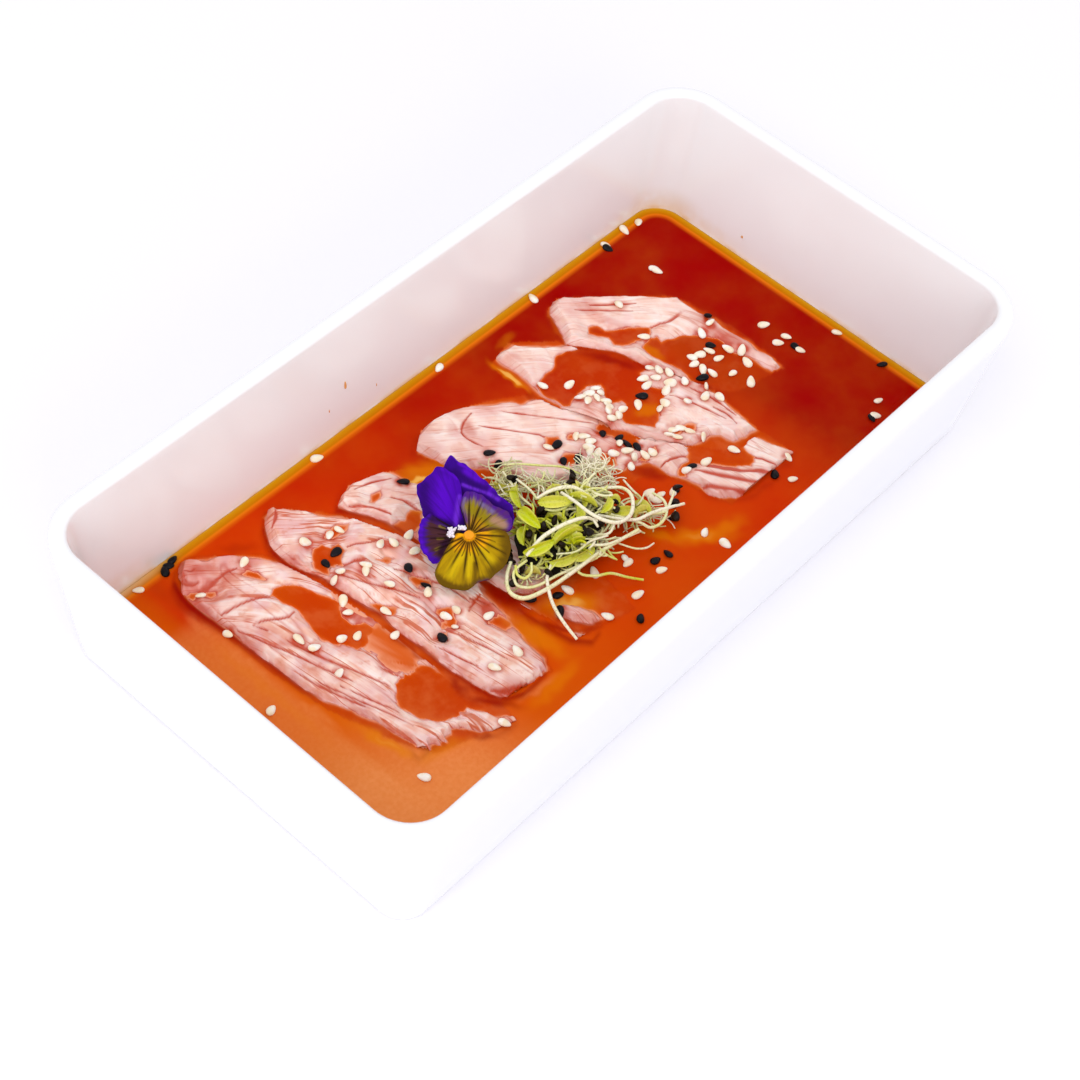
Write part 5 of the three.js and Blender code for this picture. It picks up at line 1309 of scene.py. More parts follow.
def build_wall_drops():
    """Small drops of sauce that run down the dish's inner wall."""
    finish, tree, shader = start_finish("sauce_drop", Roughness=0.08)
    marks = use_group(tree, mottle_group(), Place=object_place(tree), Blotches=700.0, Grain=2000.0)
    tree.links.new(blend_colours(tree, marks["Blotch"], colour(236, 186, 130), colour(206, 126, 20)),
                   shader.inputs["Base Color"])
    places, turns, sizes = [], [], []
    for x, y, z, across, down in WALL_DROPS:
        places.append((x, y, z))
        turns.append((0, -0.5 * math.pi, 0) if x < 100 else (0, -0.5 * math.pi, 0))
        sizes.append((down * MM, across * MM, across * MM))
    drops = grow_piece("wall_drops", grains_tree(), {
        "Length": 1.0, "Width": 1.0, "Thickness": 0.5, "Taper": 0.3, "Fold": 0.0, "Curl": 0.0,
        "Segments": 12, "Rings": 8, "Material": finish}, places, vectors={"turn": turns, "size": sizes},
        values={"tone": [0.0] * len(places)})
    settle(drops, "sauce")


def build_slice(index, settings, finish):
    cut = SLICES[index]
    step = settings.mesh_step / MM
    left_guide = curve_through(cut["left"], np.linspace(0, 1, 40))
    rows = int(np.linalg.norm(np.diff(left_guide, axis=0), axis=1).sum() / step / 1.15)
    right_guide = curve_through(cut["right"], np.linspace(0, 1, 40))
    columns = int(np.linalg.norm(right_guide - left_guide, axis=1).max() / step)
    shares = np.linspace(0, 1, rows)
    left, right = curve_through(cut["left"], shares), curve_through(cut["right"], shares)
    u = np.linspace(0, 1, columns)[None, :] * np.ones((rows, 1))
    v = shares[:, None] * np.ones((1, columns))
    x = left[:, 0:1] * (1 - u) + right[:, 0:1] * u
    y = left[:, 1:2] * (1 - u) + right[:, 1:2] * u
    width = np.linalg.norm(right - left, axis=1)[:, None]
    across, along = u * width, v * rows * step * 1.15
    frill = 0.35 * soft_noise(along / 1.7, u * 0, 21 + index) + 0.25 * soft_noise(along / 5, u * 0, 31)
    x = x + frill * (smoothstep(0.8, 1, u) - smoothstep(0.2, 0, u))
    top = top_of(index, x.ravel(), y.ravel()).reshape(x.shape)
    bottom = bottom_of(index, x.ravel(), y.ravel(), top.ravel()).reshape(x.shape)
    ridge = 0.05 * soft_noise(across / 0.9, along / 9, 41) + 0.1 * soft_noise(across / 2.3, along / 15, 42)
    seam = soft_noise(across / 3.1 + 0.5 * soft_noise(along / 9, across / 5, 43), along / 26, 44 + index)
    groove = np.exp(-(seam / 0.09) ** 2) * smoothstep(-0.5, 0.3, soft_noise(across / 6, along / 9, 45))
    cuts = cut_depth(index, x, y)
    inner = smoothstep(0, 1.2, inside_distance(OUTLINES[index], x, y))
    grain = cut["grain"]
    detail = inner * grain * (ridge - 0.13 * groove) - 0.45 * cuts * smoothstep(0.2, 1.4, top - LEVEL + 0.6)
    top = np.maximum(top + detail - 0.3 * (1 - smoothstep(0, 0.9, inside_distance(
        OUTLINES[index], x, y))), bottom + 0.25)
    low = 1 - smoothstep(-0.1, 0.26, top - LEVEL + 0.12 * soft_noise(x / 1.4, y / 1.4, 46))
    seeds = seed_nearness(x, y)
    patches = smoothstep(0.2, 0.85, soft_noise(x / 4.4, y / 6.5, 47)) * 0.3
    ring = seeds * (0.65 + 0.5 * soft_noise(x / 1.3, y / 1.3, 49))
    films = patch_strength(FILM_PATCHES, x, y)
    stain = np.clip(1.2 * cuts + 0.75 * low + ring + 0.45 * grain * groove * inner + patches + films, 0, 1)
    from_left = x - left_edge_x(index, y)
    rim = np.exp(-(np.maximum(land_distance(index, x, y) - 0.25, 0) / 0.55) ** 2)
    ragged = y + 2.4 * soft_noise(x / 2.2, y / 2.2, 57)
    blush = 0.22 * rim + 0.5 * smoothstep(cut["blush_from"] - 5, cut["blush_from"] + 5, ragged)
    blush += 0.22 * np.exp(-from_left / 5) + 0.25 * smoothstep(0.1, 0.9, soft_noise(x / 5, y / 8, 48))
    points = np.dstack([x, y, top]).reshape(-1, 3)
    under = np.dstack([x, y, bottom]).reshape(-1, 3)
    points = np.vstack([points.reshape(rows, columns, 3)[:, ::-1].reshape(-1, 3),
                        under.reshape(rows, columns, 3)[:, ::-1].reshape(-1, 3)])
    heights = np.linspace(-60, 60, 241)
    lean = -0.1 - 1.3 * smoothstep(cut["left"][0][1] - 34, cut["left"][0][1] - 14, heights)
    bend = np.interp(y, heights, np.cumsum(lean) * 0.5)
    maps = np.dstack([(x - bend) / 30, v])[:, ::-1].reshape(-1, 2)
    stain, blush = (np.tile(values[:, ::-1].ravel(), 2) for values in (stain, np.clip(blush, 0, 0.9)))
    grains = np.full(len(stain), grain)
    piece = make_piece(f"fish_slice_{index + 1}", points, sheet_faces(rows, columns), finish,
                       {"stain": stain, "blush": blush, "grain": grains}, np.vstack([maps, maps]))
    settle(piece, "fish", f"tuna_slice_{index + 1}")


def sauce_grid(step):
    """Places that fill the dish's rounded inside at the sauce's level."""
    length, width, radius = grow(fillet_outline(LEVEL), EDGE_REACH)
    columns, rows = int(2 * length / step) + 1, int(2 * width / step) + 1
    x, y = np.meshgrid(np.linspace(-length, length, columns), np.linspace(-width, width, rows))
    corner_x = np.clip((np.abs(x) - length + radius) / radius, 0, 1)
    corner_y = np.clip((np.abs(y) - width + radius) / radius, 0, 1)
    round_x = corner_x * np.sqrt(1 - corner_y ** 2 / 2)
    round_y = corner_y * np.sqrt(1 - corner_x ** 2 / 2)
    x = np.where(corner_x > 0, np.sign(x) * (length - radius + radius * round_x), x)
    y = np.where(corner_y > 0, np.sign(y) * (width - radius + radius * round_y), y)
    return x, y


def blur(values, times):
    for _ in range(times):
        edge = np.pad(values, 1, mode="edge")
        values = (edge[:-2, 1:-1] + edge[2:, 1:-1] + edge[1:-1, :-2] + edge[1:-1, 2:]
                  + 4 * edge[1:-1, 1:-1]) / 8
    return values


def patch_strength(patches, x, y):
    """How strongly each place lies in one of some ragged oval patches, from 0 to 1."""
    x, y = x + 0.8 * soft_noise(x / 2.2, y / 2.2, 53), y + 0.8 * soft_noise(x / 2.4, y / 2.4, 54)
    total = np.zeros(x.shape)
    for patch_x, patch_y, long, wide, turn, strength in patches:
        cosine, sine = math.cos(math.radians(turn)), math.sin(math.radians(turn))
        along = ((x - patch_x) * cosine + (y - patch_y) * sine) / long
        aside = ((y - patch_y) * cosine - (x - patch_x) * sine) / wide
        total = np.maximum(total, strength * np.exp(-(along ** 2 + aside ** 2) ** 1.5))
    return total


def build_sauce(settings):
    x, y = sauce_grid(settings.mesh_step / MM)
    rows, columns = x.shape
    find = surface_under([f"fish_slice_{i + 1}" for i in range(len(SLICES))])
    outline = np.array(rounded_ring(grow(fillet_outline(LEVEL), EDGE_REACH), 0))[:, :2]
    wall = np.maximum(inside_distance(outline, x, y), 0)
    floor = FLOOR_TOP + FILLET * (1 - np.sqrt(1 - np.clip(1 - wall / FILLET, 0, 1) ** 2)) * 0.8
    fish = np.array([find(a, b)[0] or -1.0 for a, b in zip(x.ravel(), y.ravel())]).reshape(x.shape)
    over = (fish > 0).astype(float)
    ground = np.where(over > 0, fish, floor)
    depth = np.clip(LEVEL - ground, 0, LEVEL - FLOOR_TOP)
    z = LEVEL + settings.creep / MM * np.exp(-wall / 0.7)
    z = z + 0.012 * soft_noise(x / 9, y / 9, 51)
    # painted shadow of each raised slice on the sauce along its edges towards -x and -y
    shaded = np.zeros(x.shape)
    for index in range(len(SLICES)):
        power, low, high = SLICES[index]["painted_shadow"]
        power = power * (0.3 + 0.7 * smoothstep(low, high, y))
        near_tip = 0.5 + 0.5 * smoothstep(24, 42, y)
        for reach, strength in BANK_SHADOWS:
            reach = reach * near_tip
            inside = land_distance(index, x + reach * SHADOW_SIDE[0], y + reach * SHADOW_SIDE[1])
            outside = 1 - smoothstep(-0.3, 0.5, land_distance(index, x, y))
            shaded = np.maximum(shaded, power * strength * smoothstep(-0.9, 0.7, inside) * outside)
    redness = 0.6 + 0.0042 * x + 0.003 * y
    redness += 0.14 * smoothstep(26, 42, y) * smoothstep(-100, -84, x)
    redness += 0.3 * smoothstep(60, 84, x)
    # painted shade: the sauce is redder in a strip along the left wall beside the first slice's tip
    redness += 0.3 * np.exp(-((x + 89.5) / 4) ** 2) * smoothstep(24, 40, y)
    redness += 0.05 * soft_noise(x / 16, y / 16, 52)
    # the pale milky colour: partly cloudy sauce, partly painted sheen at the front and painted reflection of the wall
    # along the left wall
    milk_and_sheen = 0.85 * smoothstep(-6, -40, y) * smoothstep(-58, -86, x + 0.25 * y)
    milk_and_sheen += 0.35 * smoothstep(38, 32, y) * smoothstep(-86, -89, x)
    milk_and_sheen = np.maximum(milk_and_sheen, patch_strength(MILK_AND_SHEEN_PATCHES, x, y))
    milk_and_sheen = np.clip(milk_and_sheen, 0, 0.9) * smoothstep(0.5, 4.5, wall)
    amber = patch_strength(AMBER_PATCHES, x, y)
    # the painted shadow patches join the slices' painted shadows
    shaded = np.maximum(shaded, patch_strength(SHADOW_PATCHES, x, y))
    values = {"depth": depth, "over": blur(over, 1), "painted_shadow": np.clip(blur(shaded, 1), 0, 1),
              "redness": np.clip(redness, 0, 1), "milk_and_sheen": milk_and_sheen * (1 - 0.8 * blur(over, 2)),
              "wall": wall, "amber": amber}
    top = np.dstack([x, y, z]).reshape(-1, 3)
    low_outline = grow(fillet_outline(FLOOR_TOP + 0.5), -SAUCE_GAP)
    shrink = np.array([low_outline[0] / np.abs(x).max(), low_outline[1] / np.abs(y).max()])
    under = np.column_stack([top[:, :2] * shrink, np.full(len(top), FLOOR_TOP + SAUCE_GAP)])
    rim = np.arange(rows * columns).reshape(rows, columns)
    faces = [tuple(face) for face in np.stack(
        [rim[:-1, :-1], rim[:-1, 1:], rim[1:, 1:], rim[1:, :-1]], axis=-1).reshape(-1, 4).tolist()]
    loop = np.concatenate([rim[0, :-1], rim[:-1, -1], rim[-1, :0:-1], rim[:0:-1, 0]])
    count, first = len(loop), len(top)
    middle = (top[loop] + under[loop]) / 2
    middle[:, :2] = top[loop][:, :2] * (1 + shrink * 2) / 3
    points = np.vstack([top, middle, under[loop], [[0, 0, FLOOR_TOP + SAUCE_GAP]]])
    for i in range(count):
        after = (i + 1) % count
        faces.append((loop[after], loop[i], first + i, first + after))
        faces.append((first + after, first + i, first + count + i, first + count + after))
        faces.append((first + count + after, first + count + i, len(points) - 1))
    extra = len(points) - len(top)
    values = {key: np.concatenate([data.ravel(), np.zeros(extra)]) for key, data in values.items()}
    piece = make_piece("red_sauce", points, [tuple(map(int, face)) for face in faces],
                       sauce_finish(settings), values)
    settle(piece, "sauce", "sauce")


def seeds_lie(places, find, height):
    """Where each seed rests and how it leans with the surface under it."""
    points, turns, sizes, tones = [], [], [], []
    maker = random.Random(17)
    for x, y, heading, size in places:
        z, normal = find(x, y)
        if z is None:
            z, normal = LEVEL, Vector((0, 0, 1))
        if z < LEVEL:
            z, normal = LEVEL, Vector((0, 0, 1))
        lean = Vector((0, 0, 1)).rotation_difference(normal).to_matrix()
        tip = Matrix.Rotation(maker.uniform(-0.25, 0.25), 3, "Y")
        roll = Matrix.Rotation(maker.uniform(-0.35, 0.35), 3, "X")
        turns.append(tuple((lean @ Matrix.Rotation(heading, 3, "Z") @ tip @ roll).to_euler()))
        points.append((x, y, z + 0.32 * height))
        sizes.append((size, size, size))
        tones.append(maker.random())
    return points, turns, sizes, tones


def build_seeds(settings):
    names = [f"fish_slice_{i + 1}" for i in range(len(SLICES))]
    find = surface_under(names)
    kinds = (
        ("white_sesame", WHITE_SEEDS, 4, seed_finish("white_sesame", (*settings.white, 1),
                                                     colour(250, 234, 200), 0.42)),
        ("black_sesame", BLACK_SEEDS, 9, seed_finish("black_sesame", (*settings.black, 1),
                                                     colour(24, 20, 28), 0.4)),
    )
    for name, patches, seed, finish in kinds:
        points, turns, sizes, tones = seeds_lie(scatter(patches, seed), find, settings.height / MM)
        piece = grow_piece(name, grains_tree(), {
            "Length": settings.length, "Width": settings.width, "Thickness": settings.height,
            "Taper": 0.28, "Fold": 0.0, "Curl": 0.0, "Segments": 10, "Rings": 7, "Material": finish},
            points, values={"tone": tones}, vectors={"turn": turns, "size": sizes})
        settle(piece, "fish")


def viola_place():
    """The matrix from the flower's own frame to the dish's, in millimetres."""
    turn = Euler((math.radians(VIOLA["tilt"]), 0, math.radians(VIOLA["facing"] + 90)), "XYZ")
    return Matrix.Translation(VIOLA["eye"]) @ turn.to_matrix().to_4x4()


def in_viola_room(point, back, margin=0.4):
    place = back @ Vector(point)
    if VIOLA_SLANT[0] * place[0] + VIOLA_SLANT[1] * place[1] > VIOLA_SLANT[2] + margin:
        return False
    for low, high in VIOLA_ROOMS:
        if all(low[i] - margin < place[i] < high[i] + margin for i in range(3)):
            return True
    return False


def heap_shade(points):
    """How shaded each point of a stem or leaf is, from 0 to 1."""
    cosine, sine = math.cos(HEAP["turn"]), math.sin(HEAP["turn"])
    from_x, from_y = points[:, 0] - HEAP["x"], points[:, 1] - HEAP["y"]
    across, up = (from_x * cosine + from_y * sine) / HEAP["length"], (from_y * cosine - from_x * sine) / HEAP["width"]
    amid = 1 - 0.75 * smoothstep(0.6, 0.95, np.hypot(across, up))
    return amid * (1 - smoothstep(12.4, 15.6, points[:, 2]))


def heap_height(x, y, find):
    """The resting height under the heap, and the heap's dome above it."""
    ground = find(x, y)[0] or LEVEL
    cosine, sine = math.cos(HEAP["turn"]), math.sin(HEAP["turn"])
    across = ((x - HEAP["x"]) * cosine + (y - HEAP["y"]) * sine) / HEAP["length"]
    up = ((y - HEAP["y"]) * cosine - (x - HEAP["x"]) * sine) / HEAP["width"]
    share = min(across * across + up * up, 1)
    return max(ground, LEVEL), HEAP["height"] * math.sqrt(1 - share)


def filler_routes(find, back):
    """Curled stems and roots that fill the heap, by a rule that gives the same ones on every run."""
    maker = random.Random(FILLER_SEED)
    routes = []
    for zone_x, zone_y, radius, low, high, count, girth, tone, tight, wide in HEAP_ZONES:
        for _ in range(count):
            reach, way = radius * math.sqrt(maker.random()) * 0.85, maker.uniform(0, 2 * math.pi)
            middle = Vector((zone_x + reach * math.cos(way), zone_y + reach * math.sin(way), 0))
            dome = 1 - (reach / radius) ** 2
            middle.z = low + (high - low) * dome * maker.uniform(0.1, 1.0)
            lean = Euler((maker.gauss(0, 0.4), maker.gauss(0, 0.4), maker.uniform(0, 2 * math.pi)))
            curl = maker.uniform(tight, wide)
            sweep = min(maker.uniform(1.2, 4.0), 9 / curl)
            steps = 4 + int(sweep * 2)
            route = []
            for step in range(steps + 1):
                angle = sweep * (step / steps - 0.5)
                spot = Vector((curl * math.cos(angle) - curl, curl * math.sin(angle), 0))
                spot.rotate(lean)
                spot += middle
                ground = max(find(spot.x, spot.y)[0] or LEVEL, LEVEL) + 0.3
                route.append((spot.x, spot.y, max(spot.z, ground)))
            size = girth * maker.uniform(0.7, 1.25)
            shade = min(max(tone + maker.uniform(-0.25, 0.25), 0), 1)
            if not any(in_viola_room(point, back) for point in route):
                routes.append((size, shade, route))
    return routes


def extra_leaves(back):
    """Small leaves between the stems, by a rule that gives the same ones on every run."""
    maker = random.Random(EXTRA_LEAVES["random"])
    green = [zone for zone in HEAP_ZONES if zone[7] > 0.3]
    leaves = []
    while len(leaves) < EXTRA_LEAVES["count"]:
        zone_x, zone_y, radius, low, high, _, _, tone, _, _ = maker.choice(green)
        reach, way = radius * math.sqrt(maker.random()) * 0.7, maker.uniform(0, 2 * math.pi)
        height = low + (high - low) * (1 - (reach / radius) ** 2) * maker.uniform(0.5, 0.95)
        place = (zone_x + reach * math.cos(way), zone_y + reach * math.sin(way), height)
        if in_viola_room(place, back, 2.5):
            continue
        leaves.append((*place, maker.uniform(0, 360), maker.uniform(-25, 35), maker.uniform(-80, 80),
                       maker.uniform(3, 6.5), maker.uniform(1.3, 2.4), min(max(tone + maker.uniform(-0.6, 0.3), 0), 1)))
    return tuple(leaves)


def build_shade_mound(find, back):
    """A dark, low lumpy mound under the stems, painted shade for the heap's inside."""
    rings, count = 11, 48
    points = []
    for ring in range(rings):
        share = math.cos(0.5 * math.pi * ring / rings)
        for i in range(count):
            angle = 2 * math.pi * i / count
            size = 0.78 * share * (1 + 0.1 * math.sin(3 * angle + 1) + 0.06 * math.sin(7 * angle))
            across, up = HEAP["length"] * size * math.cos(angle), HEAP["width"] * size * math.sin(angle)
            x = HEAP["x"] + across * math.cos(HEAP["turn"]) - up * math.sin(HEAP["turn"])
            y = HEAP["y"] + across * math.sin(HEAP["turn"]) + up * math.cos(HEAP["turn"])
            ground = heap_height(x, y, find)[0] - 0.5
            lumps = 1 + 0.2 * float(soft_noise(x / 2.3, y / 2.3, 61))
            z = ground + 0.66 * HEAP["height"] * lumps * math.sqrt(1 - share * share)
            while in_viola_room((x, y, z), back, 0.1) and z > ground:
                z -= 0.25
            points.append((x, y, z))
    faces = ring_faces(rings, count)
    middle = np.mean(points[-count:], axis=0)
    points += [tuple(middle), (HEAP["x"], HEAP["y"], min(point[2] for point in points) - 0.3)]
    last = (rings - 1) * count
    for i in range(count):
        after = (i + 1) % count
        faces.append((last + i, last + after, len(points) - 2))
        faces.append((after, i, len(points) - 1))
    look = plain_plant_finish("sprout_shade", colour(34, 32, 6), colour(8, 7, 2), 0.95)
    core = make_piece("sprout_shade_mound", points, faces, look)
    settle(core, "sprouts")


def build_sprouts(settings):
    names = [f"fish_slice_{i + 1}" for i in range(len(SLICES))]
    find = surface_under(names)
    back = viola_place().inverted()
    points, edges, girths, tones, shades = [], [], [], [], []
    for number, (girth, tone, route) in enumerate(list(LONG_STEMS) + filler_routes(find, back)):
        count = max(4, (4 if number < len(LONG_STEMS) else 3) * (len(route) - 1))
        line = curve_through(route, np.linspace(0, 1, count + 1))
        first = len(points)
        points.extend(line.tolist())
        edges.extend((first + i, first + i + 1) for i in range(count))
        shares = np.linspace(0, 1, count + 1)
        girths.extend(girth * MM * (0.82 + 0.18 * np.sin(math.pi * shares)))
        tones.extend(np.clip(tone + 0.2 * (shares - 0.5), 0, 1))
        shades.extend(heap_shade(line) * float(number >= len(LONG_STEMS)))
    stem_look = sprout_finish("sprout_stem", (*settings.pale, 1), colour(214, 220, 24), 0.32)
    stems = grow_piece("sprout_stems", stems_tree(), {"Girth": settings.girth, "Sides": 7,
                                                      "Material": stem_look},
                       points, edges, {"girth": girths, "tone": tones, "shade": shades})
    settle(stems, "sprouts", "sprouts")
    build_shade_mound(find, back)
    places, turns, sizes, tones = [], [], [], []
    for x, y, z, heading, pitch, roll, length, width, tone in SEED_LEAVES + extra_leaves(back):
        places.append((x, y, z))
        turns.append((math.radians(roll), math.radians(-pitch), math.radians(heading)))
        sizes.append((length * MM, width * MM, 5 * MM))
        tones.append(tone)
    leaf_look = sprout_finish("sprout_leaf", colour(240, 230, 110), (*settings.lime, 1), 0.35)
    leaves = grow_piece("sprout_leaves", grains_tree(), {
        "Length": 1.0, "Width": 1.0, "Thickness": 0.09, "Taper": 0.12, "Fold": 0.75, "Curl": 0.5,
        "Segments": 16, "Rings": 14, "Material": leaf_look}, places,
        values={"tone": tones, "shade": 0.8 * heap_shade(np.array(places))},
        vectors={"turn": turns, "size": sizes})
    settle(leaves, "sprouts")
    maker = random.Random(23)
    turns = [tuple(maker.uniform(-1.5, 1.5) for _ in range(3)) for _ in SEED_HULLS]
    scales = [maker.uniform(0.75, 1.15) for _ in SEED_HULLS]
    hull_look = seed_finish("sprout_hull", colour(14, 10, 8), colour(38, 26, 16), 0.4)
    hulls = grow_piece("sprout_hulls", grains_tree(), {
        "Length": 3.3 * MM, "Width": 2.2 * MM, "Thickness": 1.5 * MM, "Taper": 0.3, "Fold": 0.3,
        "Curl": 0.3, "Segments": 10, "Rings": 8, "Material": hull_look}, SEED_HULLS,
        values={"tone": [maker.random() for _ in SEED_HULLS]},
        vectors={"turn": turns, "size": [(size, size, size) for size in scales]})
    settle(hulls, "sprouts")


def stroke_strength(strokes, x, y, thin=1.0):
    """How strongly each place lies on one of some painted strokes, from 0 to 1."""
    strength = np.zeros(x.shape)
    for half_width, line in strokes:
        line = curve_through(line, np.linspace(0, 1, 8))
        for share, segment in enumerate(zip(line, line[1:])):
            width = half_width * (1 - (1 - thin) * share / len(line))
            near = np.exp(-(line_distance(np.array(segment), x, y) / width) ** 2)
            strength = np.maximum(strength, near)
    return strength


def vein_lines(veins):
    """Veins as strokes that fan out from the throat."""
    lines = []
    for angle, reach in veins:
        way = np.array((math.cos(math.radians(angle)), math.sin(math.radians(angle))))
        aside = np.array((-way[1], way[0])) * 0.12 * math.sin(angle)
        start = np.array(THROAT) + way * 1.9
        lines.append((0.4 if reach > 7 else 0.22, (start, start + way * reach * 0.45 + aside, start + way * (
            reach - 1.2))))
    return lines


def petal_mesh(petal, rows=44, columns=110):
    """A petal's two faces in the flower's frame, with its map and the values for its colours."""
    rim = curve_through(petal["rim"], np.linspace(0, 1, columns))[::-1]
    from_throat = rim - np.array(THROAT)
    angle = np.unwrap(np.arctan2(from_throat[:, 1], from_throat[:, 0]))
    u = np.linspace(1, -1, columns)[None, :] * np.ones((rows, 1))
    v = np.linspace(0, 1, rows)[:, None] * np.ones((1, columns))
    base_angle = np.linspace(angle[0], angle[-1], columns)
    base = np.array(THROAT) + 1.0 * np.column_stack([np.cos(base_angle), np.sin(base_angle)])
    frill = 1 + 0.012 * v ** 4 * (np.sin(14 * u + petal["layer"]) + 0.7 * np.sin(31 * u))
    x = base[:, 0] + (rim[:, 0] - base[:, 0]) * v * frill
    y = base[:, 1] + (rim[:, 1] - base[:, 1]) * v * frill
    ripple = petal["ruffle"] * np.sin(2.6 * math.pi * u + petal["layer"]) * v * v
    ripple = ripple + 0.1 * np.sin(9 * u + 5 * v + petal["layer"]) * v
    folds = stroke_strength(petal["light"], x, y) - stroke_strength(petal["dark"], x, y)
    z = petal["layer"] + petal["cup"] * v * v + ripple + 0.15 * folds * v
    thin = PETAL_THICKNESS * (1 - 0.55 * smoothstep(0.75, 1, v))
    points = np.vstack([np.dstack([x, y, z]).reshape(-1, 3), np.dstack([x, y, z - thin]).reshape(-1, 3)])
    maps = np.dstack([0.5 + 0.5 * u, v]).reshape(-1, 2)
    from_rim = (1 - v) * np.linalg.norm(rim - base, axis=1)
    from_side = (1 - np.abs(u)) * np.linalg.norm(np.diff(rim, axis=0), axis=1).sum() / 2 * v
    throat = np.hypot(x - THROAT[0], y - THROAT[1])
    values = {
        "rim": np.exp(-(np.minimum(from_rim, from_side + 0.7) / petal.get("margin", 1.2)) ** 2)
        * smoothstep(1.6, 4.6, throat),
        "throat": 1 - smoothstep(2.6, 7.4, throat),
        "vein": stroke_strength(vein_lines(petal["veins"]), x, y, 0.3) * (1 - smoothstep(7, 13, throat)),
        "pale": stroke_strength(petal["pale"], x, y),
        "light": stroke_strength(petal["light"], x, y),
        "dark": stroke_strength(petal["dark"], x, y),
    }
    values = {key: np.tile(data.ravel(), 2) for key, data in values.items()}
    return points, sheet_faces(rows, columns), np.vstack([maps, maps]), values


def build_viola(settings):
    place = np.array(viola_place())
    violet, gold, vein = (*settings.violet, 1), (*settings.gold, 1), (*settings.vein, 1)
    bright, deep = colour(88, 8, 196), colour(48, 2, 100)
    glint, edge = colour(118, 48, 222), colour(78, 30, 138)
    looks = {
        "viola_petal_upper_left": (violet, violet, deep, deep, bright, glint, deep, "petal_violet"),
        "viola_petal_upper_right": (violet, colour(58, 4, 132), deep, deep, colour(92, 16, 196), glint,
                                    deep, "petal_violet"),
        "viola_petal_side_left": (colour(72, 10, 170), colour(76, 44, 48), colour(128, 100, 20), vein,
                                  colour(88, 20, 200), colour(134, 112, 30), colour(44, 18, 44),
                                  "petal_violet"),
        "viola_petal_side_right": (edge, colour(146, 128, 24), colour(188, 138, 14), vein,
                                   colour(176, 134, 112), colour(122, 104, 148), colour(96, 56, 22),
                                   "petal_gold"),
        "viola_petal_lip": (colour(112, 84, 14), gold, colour(255, 176, 14), vein,
                            colour(214, 182, 18), colour(74, 14, 88), colour(104, 78, 10), "petal_gold"),
    }
    for name, petal in PETALS.items():
        *paints, slot = looks[name]
        points, faces, maps, values = petal_mesh(petal)
        points = points @ place[:3, :3].T + place[:3, 3]
        finish = petal_finish(name.replace("viola_", ""), *paints)
        piece = make_piece(name.replace("viola", "flower"), points, faces, finish, values, maps)
        settle(piece, slot, name)
    build_viola_eye(place)


def build_viola_eye(place):
    """The orange eye, and the white tufts above it."""
    rings, count = 9, 18
    points = []
    for ring in range(1, rings):
        lean = math.pi * ring / rings
        for i in range(count):
            angle = 2 * math.pi * i / count
            size = EYE_RADIUS * math.sin(lean) * (1 + 0.03 * math.sin(5 * angle))
            points.append((size * math.cos(angle), 0.9 * size * math.sin(angle),
                           EYE_HEIGHT - 0.26 * EYE_RADIUS * math.cos(lean)))
    faces = ring_faces(rings - 1, count)
    points += [(0, 0, EYE_HEIGHT - 0.26 * EYE_RADIUS), (0, 0, EYE_HEIGHT + 0.26 * EYE_RADIUS)]
    for i in range(count):
        after = (i + 1) % count
        faces.append((len(points) - 2, after, i))
        faces.append((len(points) - 1, len(points) - 2 - count + i, len(points) - 2 - count + after))
    points = (np.array(points) + (*EYE_PLACE, 0)) @ place[:3, :3].T + place[:3, 3]
    look = plain_plant_finish("flower_eye", colour(254, 178, 14), colour(244, 142, 4), 0.8)
    eye = make_piece("flower_eye", points, faces, look)
    settle(eye, "flower_eye", "viola_eye")
    maker = random.Random(31)
    lines, edges, girths = [], [], []
    for tuft_x, tuft_y, wide, high, count in TUFTS:
        for _ in range(count):
            base = Vector((tuft_x + maker.uniform(-wide, wide), tuft_y + maker.uniform(-high, high), 0.4))
            tip = base + Vector((maker.uniform(-0.4, 0.4), maker.uniform(-0.4, 0.3),
                                 maker.uniform(0.6, 1.1)))
            first = len(lines)
            lines.extend([tuple(base), tuple((base + tip) / 2), tuple(tip)])
            edges.extend([(first, first + 1), (first + 1, first + 2)])
            girths.extend([0.3 * MM, 0.3 * MM, 0.18 * MM])
    lines = np.array(lines) @ place[:3, :3].T + place[:3, 3]
    look = plain_plant_finish("flower_tuft", colour(255, 252, 255), colour(236, 228, 240))
    tufts = grow_piece("flower_tufts", stems_tree(), {"Girth": 1.0, "Sides": 5, "Material": look},
                       lines, edges, {"girth": girths})
    settle(tufts, "flower_eye")
    calyx_look = plain_plant_finish("green_calyx", colour(120, 150, 60), colour(78, 110, 34))
    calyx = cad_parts["viola_calyx"]
    for material_slot in calyx.material_slots:
        material_slot.material = calyx_look


